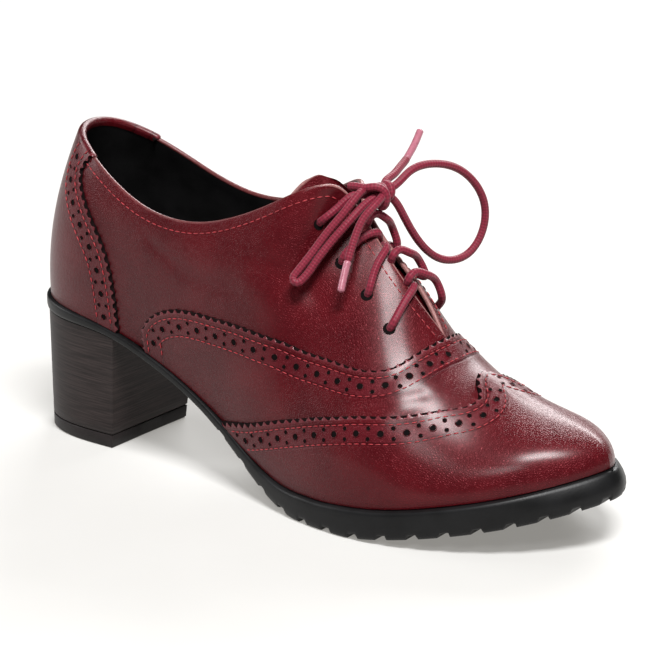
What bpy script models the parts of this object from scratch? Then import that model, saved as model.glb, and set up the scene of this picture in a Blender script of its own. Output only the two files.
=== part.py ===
"""Lace-up brogue oxford with a block heel, right shoe, standing empty on its sole.

Axes: +X from heel to toe, +Y towards the medial side, +Z up from the floor.
Tables are in millimetres, measured from the back of the sole on the floor.
"""
import math

import bmesh
import bpy
import numpy as np
from mathutils import Matrix, Vector

# Driving dimensions in millimetres
MM = 0.001
GAP = 0.3                    # clearance between pieces that touch
SHOE_LENGTH = 237.5          # back of the sole to its toe tip
TOE_TIP_Y = 2.4              # the toe leans to the medial side
HEEL_HEIGHT = 46.0           # floor to the top of the heel at its back
TOP_PIECE_HEIGHT = 5.0       # rubber lift under the heel
HEEL_BREAST_TOP = 45.0       # front face of the heel, at the sole
HEEL_BREAST_FOOT = 41.2      # front face of the heel, at the floor
HEEL_FOOT_SCALE = 0.87       # the heel's foot against its seat
WALL = 1.8                   # quarter leather with its lining
OVERLAY = 0.8                # vamp, toe cap and counter leather
VAMP_GAP = 0.6               # vamp over the upper
TOE_CAP_GAP = 0.9            # toe cap over the vamp
TONGUE_GAP = 0.6             # tongue under the wall
INSOLE_THICKNESS = 2.2
INSOLE_MARGIN = 1.4          # insole edge to the inside of the wall
TONGUE_THICKNESS = 1.8
LACE_HOLE_RADIUS = 2.25
LACE_DIAMETER = 2.8
LACE_HOLE_PIN = 8.0          # length of the pin that cuts a lace hole
STRAND_SHARES = np.array([0.0, 0.3, 0.6, 0.9])  # places on a strand's way from its hole to the crossing
LACE_LIFT = 2.2              # lace centre above the facing
AGLET_DIAMETER = 2.6
LUG_PITCH = 11.0             # edge lugs, measured round the sole edge from the toe
LUG_START = 0.40             # the lugs begin this far along the sole
NOTCH_WIDTH = 3.6
NOTCH_DEPTH = 1.5
NOTCH_REACH = 10.0           # length of the block that cuts a notch
NOTCH_OVERRUN = 1.0          # how far that block stands out beyond the sole edge
HEEL_INSET = 0.8             # heel seat inside the sole edge
FACING_OUT = np.array([0.78, 0.0, 0.63])  # direction out of the open facing
TONGUE_HEAD, TONGUE_FOOT = 0.542, 0.665   # stretch of the tongue that lies under the wall
TONGUE_SPREAD = 0.30         # share of each section that the tongue covers
LATERAL, MEDIAL = -1, 1

# Origin: middle of the shoe's outline on the floor
ORIGIN_X = SHOE_LENGTH / 2
ORIGIN_Y = -2.4

# Resolution
MERGE = 0.000001             # metres
SHARP_ANGLE = 40             # degrees
PATH_SAMPLES = 400
EDGE_SAMPLES = 1200
PIN_SIDES = 12
UPPER_ROWS = 9
VAMP_ROWS = 9
TOE_CAP_STEPS = 17
TOE_CAP_ROWS = 14
TOE_CAP_CROWDING = 1.35      # above 1, its sections lie closer towards the toe
COUNTER_STEPS = 11
FRONT_STEPS = 15
SOLE_STATIONS = 42
INSOLE_STATIONS = 34
TONGUE_ACROSS = 9
TONGUE_ROWS = 9
HEEL_STEPS = 12
CORD_STEP = 4.6              # millimetres between the points of a cord

# Side of the sole: height up its edge, how far it lies inside the plan, and how much further at the toe
SOLE_SIDE = ((1.0, 0.7, 2.8), (0.80, 0.0, 1.9), (0.30, 0.0, 0.0), (0.0, 1.2, 0.0))
TOE_ROUNDING = (0.80, 0.95)  # along the sole, where the rounder toe edge begins and is full

# Tip of the tongue: reach above its head, and how far its corners are rounded off
TONGUE_TIP = ((12.0, 6.0), (9.0, 2.0), (4.5, 0.4))

# Plan of the sole edge, without its two end points
SOLE_PLAN_COLUMNS = ("x", "lateral", "medial")
SOLE_PLAN = (
    (4, -12.5, 12.5),
    (12, -20.0, 20.0),
    (26, -24.6, 24.6),
    (46, -25.5, 25.0),
    (70, -26.5, 22.0),
    (95, -29.5, 20.0),
    (120, -35.8, 22.5),
    (142, -41.6, 29.0),
    (158, -43.2, 34.8),
    (176, -41.6, 38.4),
    (194, -36.4, 38.4),
    (211, -28.2, 33.6),
    (225, -17.4, 24.4),
    (234, -6.5, 12.8),
)

# Side profile of the sole: its underside and its thickness
SOLE_PROFILE_COLUMNS = ("x", "underside", "thickness")
SOLE_PROFILE = (
    (0, 46.0, 5.4),
    (20, 45.4, 4.4),
    (42, 43.6, 3.0),
    (60, 37.8, 3.2),
    (80, 29.2, 3.4),
    (100, 17.4, 4.6),
    (115, 7.4, 6.4),
    (128, 1.6, 8.2),
    (136, 0.0, 9.3),
    (147, 0.0, 9.5),
    (158, 0.0, 10.3),
    (169, 1.3, 10.1),
    (185, 4.2, 10.0),
    (205, 8.6, 10.2),
    (222, 13.2, 10.4),
    (237.5, 18.2, 10.4),
)

# Sections of the last. "along" runs from the back seam (0) to the toe tip (1) by the length of the sole edge.
# The top line is the collar, then the lace facing, then the ridge from the throat to the toe.
THROAT = 0.63
TOP_LINE_COLUMNS = ("along", "x", "half", "z", "middle", "medial_drop")
TOP_LINE = (
    (0.00, 15.5, 0.0, 114.0, 0.0, 0.0),
    (0.06, 19.0, 11.0, 112.5, 0.0, 0.0),
    (0.13, 30.0, 18.6, 107.4, 0.0, 0.0),
    (0.21, 44.0, 22.6, 100.2, 0.0, 0.4),
    (0.28, 59.0, 24.8, 93.9, 0.0, 0.8),
    (0.34, 74.0, 25.2, 91.2, 0.0, 1.2),
    (0.40, 92.0, 23.8, 93.6, 0.0, 1.6),
    (0.45, 110.0, 20.4, 101.4, 0.0, 2.2),
    (0.49, 123.0, 15.2, 108.2, 0.0, 2.8),
    (0.515, 129.6, 9.3, 108.8, 0.0, 3.0),
    (0.535, 133.2, 4.9, 104.6, 0.0, 2.4),
    (0.57, 145.0, 3.2, 89.3, 0.0, 1.0),
    (0.605, 160.8, 3.0, 72.4, 0.0, 0.0),
    (0.63, 170.5, 0.0, 60.5, 0.0, 0.0),
    (0.67, 179.0, 0.0, 52.4, 0.4, 0.0),
    (0.72, 187.0, 0.0, 50.1, 0.9, 0.0),
    (0.78, 196.0, 0.0, 47.0, 1.5, 0.0),
    (0.85, 204.5, 0.0, 44.2, 2.1, 0.0),
    (0.92, 211.9, 0.0, 42.0, 2.6, 0.0),
    (1.00, 218.7, 0.0, 40.1, 3.0, 0.0),
)

# Stretches of the upper behind the throat: start, stop and number of sections
UPPER_STRETCHES = ((0.0, 0.21, 10), (0.21, 0.49, 8), (0.49, 0.535, 4), (0.535, THROAT, 7))
FRONT_PLACES = np.linspace(THROAT, 1.0, FRONT_STEPS)

# How far the sole stands out beyond the upper
WELT_COLUMNS = ("along", "width")
WELT = (
    (0.00, 1.4),
    (0.12, 1.4),
    (0.25, 1.2),
    (0.40, 1.0),
    (0.55, 1.2),
    (0.70, 2.2),
    (0.85, 2.8),
    (0.93, 3.3),
    (1.00, 3.8),
)

# How far the upper lies inside the outer form, to leave room for the leather over it
SUNK_COLUMNS = ("along", "foot", "top")
SUNK = (
    (0.00, 1.1, 1.1),
    (0.10, 1.1, 1.1),
    (0.22, 0.5, 0.0),
    (0.30, 1.0, 0.0),
    (0.40, 1.6, 0.0),
    (0.50, 3.0, 0.0),
    (0.62, 3.0, 0.0),
    (0.70, 3.0, 1.4),
    (0.78, 3.0, 3.0),
    (1.00, 3.0, 3.0),
)

# How each section leaves the top line (back, out, down, and along the ridge) and the sole (rise and lean)
RIB_COLUMNS = ("along", "back", "out", "down", "slide", "rise", "lean_lateral", "lean_medial")
RIB = (
    (0.00, 9.0, 0.0, 22.0, 0.0, 22.0, 0.0, 0.0),
    (0.06, 6.0, 5.5, 21.0, 0.0, 22.0, 1.0, 1.0),
    (0.13, 3.0, 7.0, 19.0, 0.0, 21.0, 2.0, 2.0),
    (0.21, 1.0, 5.0, 17.0, 0.0, 20.0, 2.0, 2.5),
    (0.28, 0.0, 4.5, 16.0, 0.0, 18.0, 2.0, 3.5),
    (0.34, -1.0, 4.5, 17.0, 0.0, 18.0, 2.0, 5.0),
    (0.40, 1.0, 7.0, 18.0, 0.0, 18.0, 2.0, 7.0),
    (0.45, 4.0, 10.0, 18.0, 0.0, 19.0, 3.0, 7.0),
    (0.49, 8.0, 12.0, 18.0, 0.0, 20.0, 3.0, 6.0),
    (0.535, 11.0, 14.0, 14.0, 0.0, 22.0, 3.0, 5.0),
    (0.57, 8.0, 15.0, 9.0, 0.0, 24.0, 3.0, 4.0),
    (0.605, 5.0, 19.0, 5.0, 0.0, 27.0, 3.0, 3.0),
    (0.63, 2.0, 23.0, 1.0, 0.0, 29.0, 3.0, 3.0),
    (0.70, 0.0, 20.4, 0.0, 2.0, 20.0, 2.0, 2.0),
    (0.78, 0.0, 17.1, 0.0, 9.2, 12.5, 1.0, 1.0),
    (0.86, 0.0, 15.8, 0.0, 12.8, 10.2, 0.0, 0.0),
    (0.93, 0.0, 12.4, 0.0, 9.4, 6.2, 0.0, 0.0),
    (1.00, 0.0, 0.0, 0.0, 9.2, 7.0, 0.0, 0.0),
)

# Front edge of the counter, rear edge of the toe cap and upper edge of the vamp, on the wall
COUNTER_EDGE_COLUMNS = ("up", "along")
COUNTER_EDGE = (
    (0.00, 0.222),
    (0.22, 0.221),
    (0.40, 0.216),
    (0.52, 0.206),
    (0.65, 0.179),
    (0.76, 0.147),
    (0.88, 0.124),
    (1.00, 0.138),
)
TOE_CAP_EDGE_COLUMNS = ("up", "along")
TOE_CAP_EDGE = (
    (0.00, 0.411),
    (0.08, 0.434),
    (0.14, 0.457),
    (0.197, 0.485),
    (0.238, 0.518),
    (0.276, 0.555),
    (0.323, 0.588),
    (0.37, 0.616),
    (0.426, 0.643),
    (0.53, 0.679),
    (0.63, 0.706),
    (0.72, 0.730),
    (0.80, 0.735),
    (0.90, 0.714),
    (1.00, 0.700),
)
VAMP_EDGE_COLUMNS = ("along", "up")
VAMP_EDGE = (
    (0.270, 0.12),
    (0.280, 0.22),
    (0.292, 0.29),
    (0.329, 0.425),
    (0.368, 0.495),
    (0.408, 0.512),
    (0.455, 0.495),
    (0.505, 0.470),
    (0.551, 0.475),
    (0.582, 0.515),
    (0.608, 0.569),
    (0.622, 0.640),
    (0.628, 0.760),
    (0.6295, 0.880),
    (0.630, 1.000),
)

# Lace holes on the wall, and where the strands of each row cross over the open facing
LACE_ROW_COLUMNS = ("along", "up", "crossing", "lift")
LACE_ROWS = (
    (0.526, 0.838, 0.540, 2.2),
    (0.557, 0.796, 0.556, 1.6),
    (0.582, 0.802, 0.573, 1.6),
    (0.605, 0.786, 0.592, 1.6),
)

# Bow: routes chosen by hand, from the knot outwards
KNOT = (142.0, 2.5, 106.6)
KNOT_RADII = (5.0, 5.0, 4.0)
LOOP_LATERAL_ROUTE = (
    (138.4, -1.6, 107.8), (138.4, -6.8, 107.2), (136.4, -12.2, 101.8), (132.6, -16.6, 95.1),
    (129.2, -21.2, 87.9), (126.4, -25.2, 82.4), (126.3, -27.0, 79.7), (128.8, -25.6, 79.8),
    (132.2, -20.6, 86.2), (135.8, -15.8, 92.9), (139.2, -10.6, 99.2), (140.6, -3.2, 104.2),
)
LOOP_MEDIAL_ROUTE = (
    (144.6, 6.4, 108.9), (146.2, 11.5, 112.4), (149.6, 22.7, 113.6), (152.6, 31.5, 110.7),
    (155.4, 39.0, 104.1), (156.9, 42.9, 96.1), (156.8, 42.6, 87.7), (154.5, 36.5, 79.4),
    (151.2, 28.0, 78.6), (147.6, 17.6, 86.0), (145.0, 10.2, 97.5), (143.6, 6.4, 103.4),
)
END_LATERAL_ROUTE = (
    (144.4, -2.4, 105.8), (144.6, -6.8, 104.0), (143.0, -10.6, 100.2), (142.2, -13.4, 95.6),
    (142.0, -17.8, 87.4),
)
AGLET_LATERAL_ROUTE = ((142.0, -18.1, 86.8), (142.2, -20.4, 82.4), (142.6, -22.6, 78.2))
END_MEDIAL_ROUTE = ((139.9, 6.8, 109.0), (139.4, 11.9, 110.2), (138.4, 17.4, 111.6), (137.3, 23.0, 113.2))
AGLET_MEDIAL_ROUTE = ((137.1, 23.7, 113.5), (136.0, 29.6, 116.6), (134.8, 35.0, 120.4))


def columns(names, rows):
    """Turn a table into a dictionary with one array per named column."""
    data = np.array(rows, dtype=float)
    return {name: data[:, index] for index, name in enumerate(names)}


def spline(knots, values, at):
    """Natural cubic spline through (knots, values), read at the places in at."""
    count = len(knots)
    step = np.diff(knots)
    slope = np.diff(values) / step
    matrix = np.eye(count)
    right = np.zeros(count)
    for i in range(1, count - 1):
        matrix[i, i - 1:i + 2] = step[i - 1], 2 * (step[i - 1] + step[i]), step[i]
        right[i] = 6 * (slope[i] - slope[i - 1])
    bend = np.linalg.solve(matrix, right)
    at = np.asarray(at, dtype=float)
    k = np.clip(np.searchsorted(knots, at, side="right") - 1, 0, count - 2)
    a = (knots[k + 1] - at) / step[k]
    b = 1 - a
    curve = ((a ** 3 - a) * bend[k] + (b ** 3 - b) * bend[k + 1]) * step[k] ** 2 / 6
    return a * values[k] + b * values[k + 1] + curve


def mirrored_spline(knots, values, at, sign):
    """Spline over 0 to 1 that runs on smoothly into its mirror image at both ends."""
    before = slice(3, 0, -1)
    after = slice(-2, -5, -1)
    knots_on = np.concatenate([-knots[before], knots, 2 - knots[after]])
    values_on = np.concatenate([sign * values[before], values, sign * values[after]])
    return spline(knots_on, values_on, at)


def smooth_line(points, samples):
    """Points spaced evenly along a smooth curve through the given points."""
    points = np.array(points, dtype=float)
    chord = np.concatenate([[0], np.cumsum(np.linalg.norm(np.diff(points, axis=0), axis=1))])
    dense = np.linspace(0, chord[-1], PATH_SAMPLES)
    path = np.stack([spline(chord, axis, dense) for axis in points.T], axis=1)
    length = np.concatenate([[0], np.cumsum(np.linalg.norm(np.diff(path, axis=0), axis=1))])
    even = np.linspace(0, length[-1], samples)
    return np.stack([np.interp(even, length, axis) for axis in path.T], axis=1)


def sole_edges():
    """Both edges of the sole plan from back seam to toe tip, as points and outward directions."""
    plan = columns(SOLE_PLAN_COLUMNS, SOLE_PLAN)
    lateral = list(zip(plan["x"], plan["lateral"]))
    medial = list(zip(plan["x"], plan["medial"]))
    loop = [(0.0, 0.0)] + lateral + [(SHOE_LENGTH, TOE_TIP_Y)] + medial[::-1]
    count = len(loop)
    wrapped = np.array(loop[-4:] + loop + loop[:5])
    chord = np.concatenate([[0], np.cumsum(np.linalg.norm(np.diff(wrapped, axis=0), axis=1))])
    toe = 4 + 1 + len(lateral)
    ends = {LATERAL: (chord[4], chord[toe]), MEDIAL: (chord[4 + count], chord[toe])}
    edges = {}
    for side, (start, stop) in ends.items():
        dense = np.linspace(start, stop, EDGE_SAMPLES)
        line = np.stack([spline(chord, axis, dense) for axis in wrapped.T], axis=1)
        along = np.concatenate([[0], np.cumsum(np.linalg.norm(np.diff(line, axis=0), axis=1))])
        tangent = np.gradient(line, axis=0)
        tangent /= np.linalg.norm(tangent, axis=1)[:, None]
        outward = side * np.stack([-tangent[:, 1], tangent[:, 0]], axis=1)
        edges[side] = (along / along[-1], line, outward)
    for end in (0, -1):
        shared = edges[LATERAL][2][end] + edges[MEDIAL][2][end]
        shared /= np.linalg.norm(shared)
        edges[LATERAL][2][end] = shared
        edges[MEDIAL][2][end] = shared
    return edges


SOLE_EDGES = sole_edges()


def sole_edge(side, along, inset=0.0):
    """Point of the sole plan, moved in from the edge, with its outward direction."""
    place, line, outward = SOLE_EDGES[side]
    point = np.stack([np.interp(along, place, axis) for axis in line.T], axis=-1)
    out = np.stack([np.interp(along, place, axis) for axis in outward.T], axis=-1)
    return point - out * np.asarray(inset)[..., None], out


def sole_underside(x):
    profile = columns(SOLE_PROFILE_COLUMNS, SOLE_PROFILE)
    return np.maximum(0.0, spline(profile["x"], profile["underside"], x))


def sole_top(x):
    profile = columns(SOLE_PROFILE_COLUMNS, SOLE_PROFILE)
    return sole_underside(x) + spline(profile["x"], profile["thickness"], x)


def welt(along):
    """How far the sole stands out beyond the upper."""
    row = columns(WELT_COLUMNS, WELT)
    return mirrored_spline(row["along"], row["width"], along, 1)


def top_line(side, along):
    """Top of each section, on the collar, the lace facing or the ridge."""
    row = columns(TOP_LINE_COLUMNS, TOP_LINE)
    signs = {"half": -1}
    top = {name: mirrored_spline(row["along"], row[name], along, signs.get(name, 1)) for name in row}
    half = np.where(along >= THROAT, 0.0, np.maximum(0.0, top["half"]))
    drop = np.where(along >= THROAT, 0.0, top["medial_drop"]) if side == MEDIAL else 0.0
    return np.stack([top["x"], top["middle"] + side * half, top["z"] - drop], axis=-1)


def sunk(along, up):
    """How far the upper lies inside the outer form, where other leather covers it."""
    row = columns(SUNK_COLUMNS, SUNK)
    foot, top = (mirrored_spline(row["along"], row[end], along, 1) for end in ("foot", "top"))
    return np.maximum(0.0, foot + (top - foot) * up)


def wall(side, along, up):
    """Outer form of the shoe: along it (0 to 1) and up each section (0 sole to 1 top line)."""
    along = np.asarray(along, dtype=float)
    up = np.asarray(up, dtype=float)[..., None]
    rib = columns(RIB_COLUMNS, RIB)
    signs = {"out": -1}
    shape = {name: mirrored_spline(rib["along"], rib[name], along, signs.get(name, 1)) for name in rib}
    top = top_line(side, along)
    step = 0.004
    near = np.minimum(along, 1 - 2 * step)    # the ridge has no direction at the very tip
    ridge = top_line(LATERAL, near + step) - top_line(LATERAL, near - step)
    ridge /= np.linalg.norm(ridge, axis=-1)[..., None]
    handle = np.stack([-shape["back"], side * shape["out"], -shape["down"]], axis=-1)
    top_handle = top + handle + ridge * shape["slide"][..., None]
    plan, out = sole_edge(side, along, welt(along))
    foot = np.concatenate([plan, (sole_top(plan[..., 0]) + GAP)[..., None]], axis=-1)
    lean = shape["lean_lateral"] if side == LATERAL else shape["lean_medial"]
    foot_handle = foot + np.concatenate([out * lean[..., None], shape["rise"][..., None]], axis=-1)
    rest = 1 - up
    return (rest ** 3 * foot + 3 * rest ** 2 * up * foot_handle
            + 3 * rest * up ** 2 * top_handle + up ** 3 * top)


def wall_normal(side, along, up):
    """Unit direction out of the wall."""
    step = 0.0004
    clear = 0.01    # the lines along the wall run together at the very tip
    along = np.clip(along, clear, 1 - clear)
    up = np.clip(up, step, 1 - step)
    across = wall(side, along + step, up) - wall(side, along - step, up)
    rise = wall(side, along, up + step) - wall(side, along, up - step)
    normal = -side * np.cross(across, rise)
    return normal / np.linalg.norm(normal, axis=-1)[..., None]


def wall_points(side, along, up, offset):
    """Points at a given distance out of the sunk wall."""
    reach = np.asarray(offset) - sunk(along, up)
    return wall(side, along, up) + wall_normal(side, along, up) * reach[..., None]


def new_object(name, mesh, material, parent):
    mesh.materials.append(material)
    mesh.shade_smooth()
    mesh.set_sharp_from_angle(angle=math.radians(SHARP_ANGLE))
    shape = bpy.data.objects.new(name, mesh)
    shape.parent = parent
    bpy.context.scene.collection.objects.link(shape)
    return shape


def new_cutter(name, shape, parent):
    """Hidden object that a Boolean modifier cuts with."""
    mesh = bpy.data.meshes.new(name)
    shape.to_mesh(mesh)
    shape.free()
    cutter = bpy.data.objects.new(name, mesh)
    cutter.parent = parent
    cutter.hide_render = True
    cutter.display_type = "WIRE"
    bpy.context.scene.collection.objects.link(cutter)
    return cutter


def cut(target, cutter):
    hole = target.modifiers.new(cutter.name, "BOOLEAN")
    hole.operation = "DIFFERENCE"
    hole.solver = "EXACT"
    hole.object = cutter


def new_material(name, colour, roughness, metallic=0.0):
    material = bpy.data.materials.new(name)
    material.use_nodes = True
    shader = material.node_tree.nodes["Principled BSDF"]
    shader.inputs["Base Color"].default_value = (*colour, 1.0)
    shader.inputs["Roughness"].default_value = roughness
    shader.inputs["Metallic"].default_value = metallic
    return material


def solid_mesh(name, points, faces):
    """Closed mesh from points in millimetres, with doubles merged and faces turned outwards."""
    shape = bmesh.new()
    corners = [shape.verts.new(Vector(point) * MM) for point in points]
    for face in faces:
        shape.faces.new([corners[index] for index in face])
    bmesh.ops.remove_doubles(shape, verts=shape.verts, dist=MERGE)
    bmesh.ops.dissolve_degenerate(shape, edges=shape.edges, dist=MERGE)
    bmesh.ops.triangulate(shape, faces=shape.faces)
    bmesh.ops.recalc_face_normals(shape, faces=shape.faces)
    mesh = bpy.data.meshes.new(name)
    shape.to_mesh(mesh)
    shape.free()
    return mesh


def shell_mesh(name, outer, inner, quads):
    """Closed wall between two sheets of points that share the same quads."""
    count = len(outer)
    edges = {}
    for quad in quads:
        for start, stop in zip(quad, quad[1:] + quad[:1]):
            edges[(start, stop)] = edges.get((start, stop), 0) + 1
    rims = [edge for edge in edges if (edge[1], edge[0]) not in edges]
    faces = list(quads)
    faces += [tuple(count + index for index in reversed(quad)) for quad in quads]
    faces += [(stop, start, count + start, count + stop) for start, stop in rims]
    return solid_mesh(name, np.concatenate([outer, inner]), faces)


def both_sides(along, up, offsets):
    """Sheets over both sides of the wall at each offset, joined at back seam, toe and ridge."""
    rows, count = along.shape
    index = {}
    places = []
    for side in (LATERAL, MEDIAL):
        for i in range(rows):
            for j in range(count):
                on_ridge = up[i, j] >= 1 and along[i, j] >= THROAT
                shared = on_ridge or along[i, j] in (0.0, 1.0)
                key = (0 if shared else side, i, j)
                if key not in index:
                    index[key] = len(places)
                    places.append(key)
                index[(side, i, j)] = index[key]
    quads = []
    for side in (LATERAL, MEDIAL):
        for i in range(rows - 1):
            for j in range(count - 1):
                quad = [index[(side, *place)] for place in ((i, j), (i + 1, j), (i + 1, j + 1), (i, j + 1))]
                quads.append(tuple(quad if side == LATERAL else reversed(quad)))
    flat_along = np.array([along[i, j] for _, i, j in places])
    flat_up = np.array([up[i, j] for _, i, j in places])
    sides = np.array([side for side, _, _ in places])[:, None]
    sheets = []
    for offset in offsets:
        lateral = wall_points(LATERAL, flat_along, flat_up, offset)
        medial = wall_points(MEDIAL, flat_along, flat_up, offset)
        middle = (lateral + medial) / 2
        sheet = np.where(sides == LATERAL, lateral, np.where(sides == MEDIAL, medial, middle))
        sheet[:, 2] = np.maximum(sheet[:, 2], sole_top(sheet[:, 0]) + GAP)
        sheets.append(sheet)
    return sheets, quads


def ring_faces(rings):
    """Points and faces of a closed body through rings whose first and last are flat or a line."""
    rings = np.array(rings)
    count = rings.shape[1]
    faces = []
    for i in range(len(rings) - 1):
        for j in range(count):
            after = (j + 1) % count
            faces.append((i * count + j, i * count + after, (i + 1) * count + after, (i + 1) * count + j))
    return rings.reshape(-1, 3), faces


def build_upper(material, parent):
    stretches = [np.linspace(start, stop, steps, endpoint=False) for start, stop, steps in UPPER_STRETCHES]
    places = np.concatenate([*stretches, FRONT_PLACES])
    along, up = np.meshgrid(places, np.linspace(0, 1, UPPER_ROWS), indexing="ij")
    (outer, inner), quads = both_sides(along, up, (0.0, -WALL))
    upper = new_object("upper", shell_mesh("upper", outer, inner, quads), material, parent)
    cut(upper, lace_hole_cutter(parent))
    return upper


def lace_hole_cutter(parent):
    """One joined cutter with a round pin through the wall at each lace hole."""
    shape = bmesh.new()
    row = columns(LACE_ROW_COLUMNS, LACE_ROWS)
    radius = LACE_HOLE_RADIUS * MM
    for side in (LATERAL, MEDIAL):
        centre = wall(side, row["along"], row["up"])
        normal = wall_normal(side, row["along"], row["up"])
        for point, direction in zip(centre, normal):
            pin = bmesh.ops.create_cone(shape, cap_ends=True, segments=PIN_SIDES, depth=LACE_HOLE_PIN * MM,
                                        radius1=radius, radius2=radius)
            turn = Vector((0, 0, 1)).rotation_difference(Vector(direction)).to_matrix().to_4x4()
            turn.translation = Vector(point) * MM
            bmesh.ops.transform(shape, matrix=turn, verts=pin["verts"])
    return new_cutter("lace_hole_cutter", shape, parent)


def build_vamp(material, parent):
    edge = columns(VAMP_EDGE_COLUMNS, VAMP_EDGE)
    front = FRONT_PLACES[1:]
    places = np.concatenate([edge["along"], front])
    edge_up = np.concatenate([edge["up"], np.ones_like(front)])
    steps = np.linspace(0, 1, VAMP_ROWS)
    along = np.repeat(places[:, None], VAMP_ROWS, axis=1)
    up = edge_up[:, None] * steps[None, :]
    (outer, inner), quads = both_sides(along, up, (VAMP_GAP + OVERLAY, VAMP_GAP))
    return new_object("vamp", shell_mesh("vamp", outer, inner, quads), material, parent)


def build_toe_cap(material, parent):
    edge = columns(TOE_CAP_EDGE_COLUMNS, TOE_CAP_EDGE)
    steps = 1 - np.linspace(1, 0, TOE_CAP_STEPS) ** TOE_CAP_CROWDING
    rows = np.linspace(0, 1, TOE_CAP_ROWS)
    start = spline(edge["up"], edge["along"], rows)
    along = start[None, :] * (1 - steps[:, None]) + steps[:, None]
    up = np.repeat(rows[None, :], TOE_CAP_STEPS, axis=0)
    seat = VAMP_GAP + OVERLAY + TOE_CAP_GAP
    (outer, inner), quads = both_sides(along, up, (seat + OVERLAY, seat))
    return new_object("toe_cap", shell_mesh("toe_cap", outer, inner, quads), material, parent)


def build_heel_counter(material, parent):
    edge = columns(COUNTER_EDGE_COLUMNS, COUNTER_EDGE)
    steps = np.linspace(0, 1, COUNTER_STEPS)
    along = edge["along"][None, :] * steps[:, None]
    up = np.repeat(edge["up"][None, :], COUNTER_STEPS, axis=0)
    (outer, inner), quads = both_sides(along, up, (GAP + OVERLAY, GAP))
    return new_object("heel_counter", shell_mesh("heel_counter", outer, inner, quads), material, parent)


def build_tongue(material, parent):
    """Strip under the facings, seated in the throat and standing a little above the collar."""
    across = np.linspace(-1, 1, TONGUE_ACROSS)
    alongs = np.linspace(TONGUE_HEAD, TONGUE_FOOT, TONGUE_ROWS)
    sheets = []
    for depth in (WALL + TONGUE_GAP, WALL + TONGUE_GAP + TONGUE_THICKNESS):
        rows = []
        for along in alongs:
            place = np.full_like(across, along)
            up = 1 - np.abs(across) * TONGUE_SPREAD
            lateral = wall_points(LATERAL, place, up, -depth)
            medial = wall_points(MEDIAL, place, up, -depth)
            middle = (lateral + medial) / 2
            edge = np.sign(across)[:, None]
            rows.append(np.where(edge < 0, lateral, np.where(edge > 0, medial, middle)))
        climb = rows[0][TONGUE_ACROSS // 2] - rows[1][TONGUE_ACROSS // 2]
        climb /= np.linalg.norm(climb)
        head = [rows[0] + climb * reach - [0, 0, 1] * (across ** 2)[:, None] * round_off
                for reach, round_off in TONGUE_TIP]
        sheets.append(np.concatenate(head + rows))
    count = TONGUE_ACROSS
    quads = []
    for i in range(len(sheets[0]) // count - 1):
        for j in range(count - 1):
            quads.append((i * count + j, i * count + j + 1, (i + 1) * count + j + 1, (i + 1) * count + j))
    return new_object("tongue", shell_mesh("tongue", sheets[0], sheets[1], quads), material, parent)


def sole_ring(along, levels):
    """Ring round a sole section: its side points on both sides, and the middle of top and underside."""
    sides = {}
    toe = float(np.interp(along, TOE_ROUNDING, (0, 1)))
    for side in (LATERAL, MEDIAL):
        points = []
        for height, inset, toe_inset in levels:
            (x, y), _ = sole_edge(side, along, inset + toe_inset * toe)
            low, high = float(sole_underside(x)), float(sole_top(x))
            points.append((x, y, low + (high - low) * height))
        sides[side] = np.array(points)
    top = (sides[LATERAL][0] + sides[MEDIAL][0]) / 2
    foot = (sides[LATERAL][-1] + sides[MEDIAL][-1]) / 2
    top[2] = sole_top(top[0])
    foot[2] = sole_underside(foot[0])
    return [*sides[LATERAL], foot, *sides[MEDIAL][::-1], top]


def build_outsole(material, parent):
    stations = (1 - np.cos(np.linspace(0, math.pi, SOLE_STATIONS))) / 2
    points, faces = ring_faces([sole_ring(along, SOLE_SIDE) for along in stations])
    outsole = new_object("outsole", solid_mesh("outsole", points, faces), material, parent)
    cut(outsole, lug_cutter(parent))
    return outsole


def lug_cutter(parent):
    """One joined cutter with a block at each notch between the edge lugs."""
    shape = bmesh.new()
    for side in (LATERAL, MEDIAL):
        _, line, _ = SOLE_EDGES[side]
        length = np.sum(np.linalg.norm(np.diff(line, axis=0), axis=1))
        for distance in np.arange(LUG_PITCH / 2, length * (1 - LUG_START), LUG_PITCH):
            along = 1 - distance / length
            (x, y), out = sole_edge(side, along, NOTCH_REACH / 2 - NOTCH_OVERRUN)
            slope = float(sole_underside(x + 1) - sole_underside(x - 1)) / 2
            block = bmesh.ops.create_cube(shape, size=MM)
            size = Vector((NOTCH_REACH, NOTCH_WIDTH, 2 * NOTCH_DEPTH))
            bmesh.ops.scale(shape, vec=size, verts=block["verts"])
            across = Vector((-out[1], out[0], 0))
            forward = Vector((out[0], out[1], slope * out[0])).normalized()
            above = forward.cross(across).normalized()
            if above.z < 0:
                above = -above
            turn = Matrix((forward, across, above)).transposed().to_4x4()
            turn.translation = Vector((x, y, float(sole_underside(x)))) * MM
            bmesh.ops.transform(shape, matrix=turn, verts=block["verts"])
    bmesh.ops.recalc_face_normals(shape, faces=shape.faces)
    return new_cutter("lug_cutter", shape, parent)


def heel_plan():
    """Plan of the heel at its seat, from the lateral to the medial end of the breast."""
    plan = []
    half = EDGE_SAMPLES // 2
    for side in (LATERAL, MEDIAL):
        place, line, _ = SOLE_EDGES[side]
        breast = float(np.interp(HEEL_BREAST_TOP, line[:half, 0], place[:half]))
        steps = breast * np.linspace(1, 0, HEEL_STEPS)
        edge, _ = sole_edge(side, steps, np.full_like(steps, HEEL_INSET))
        edge[0, 0] = HEEL_BREAST_TOP
        plan.append(edge if side == LATERAL else edge[-2::-1])
    return np.concatenate(plan)


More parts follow.
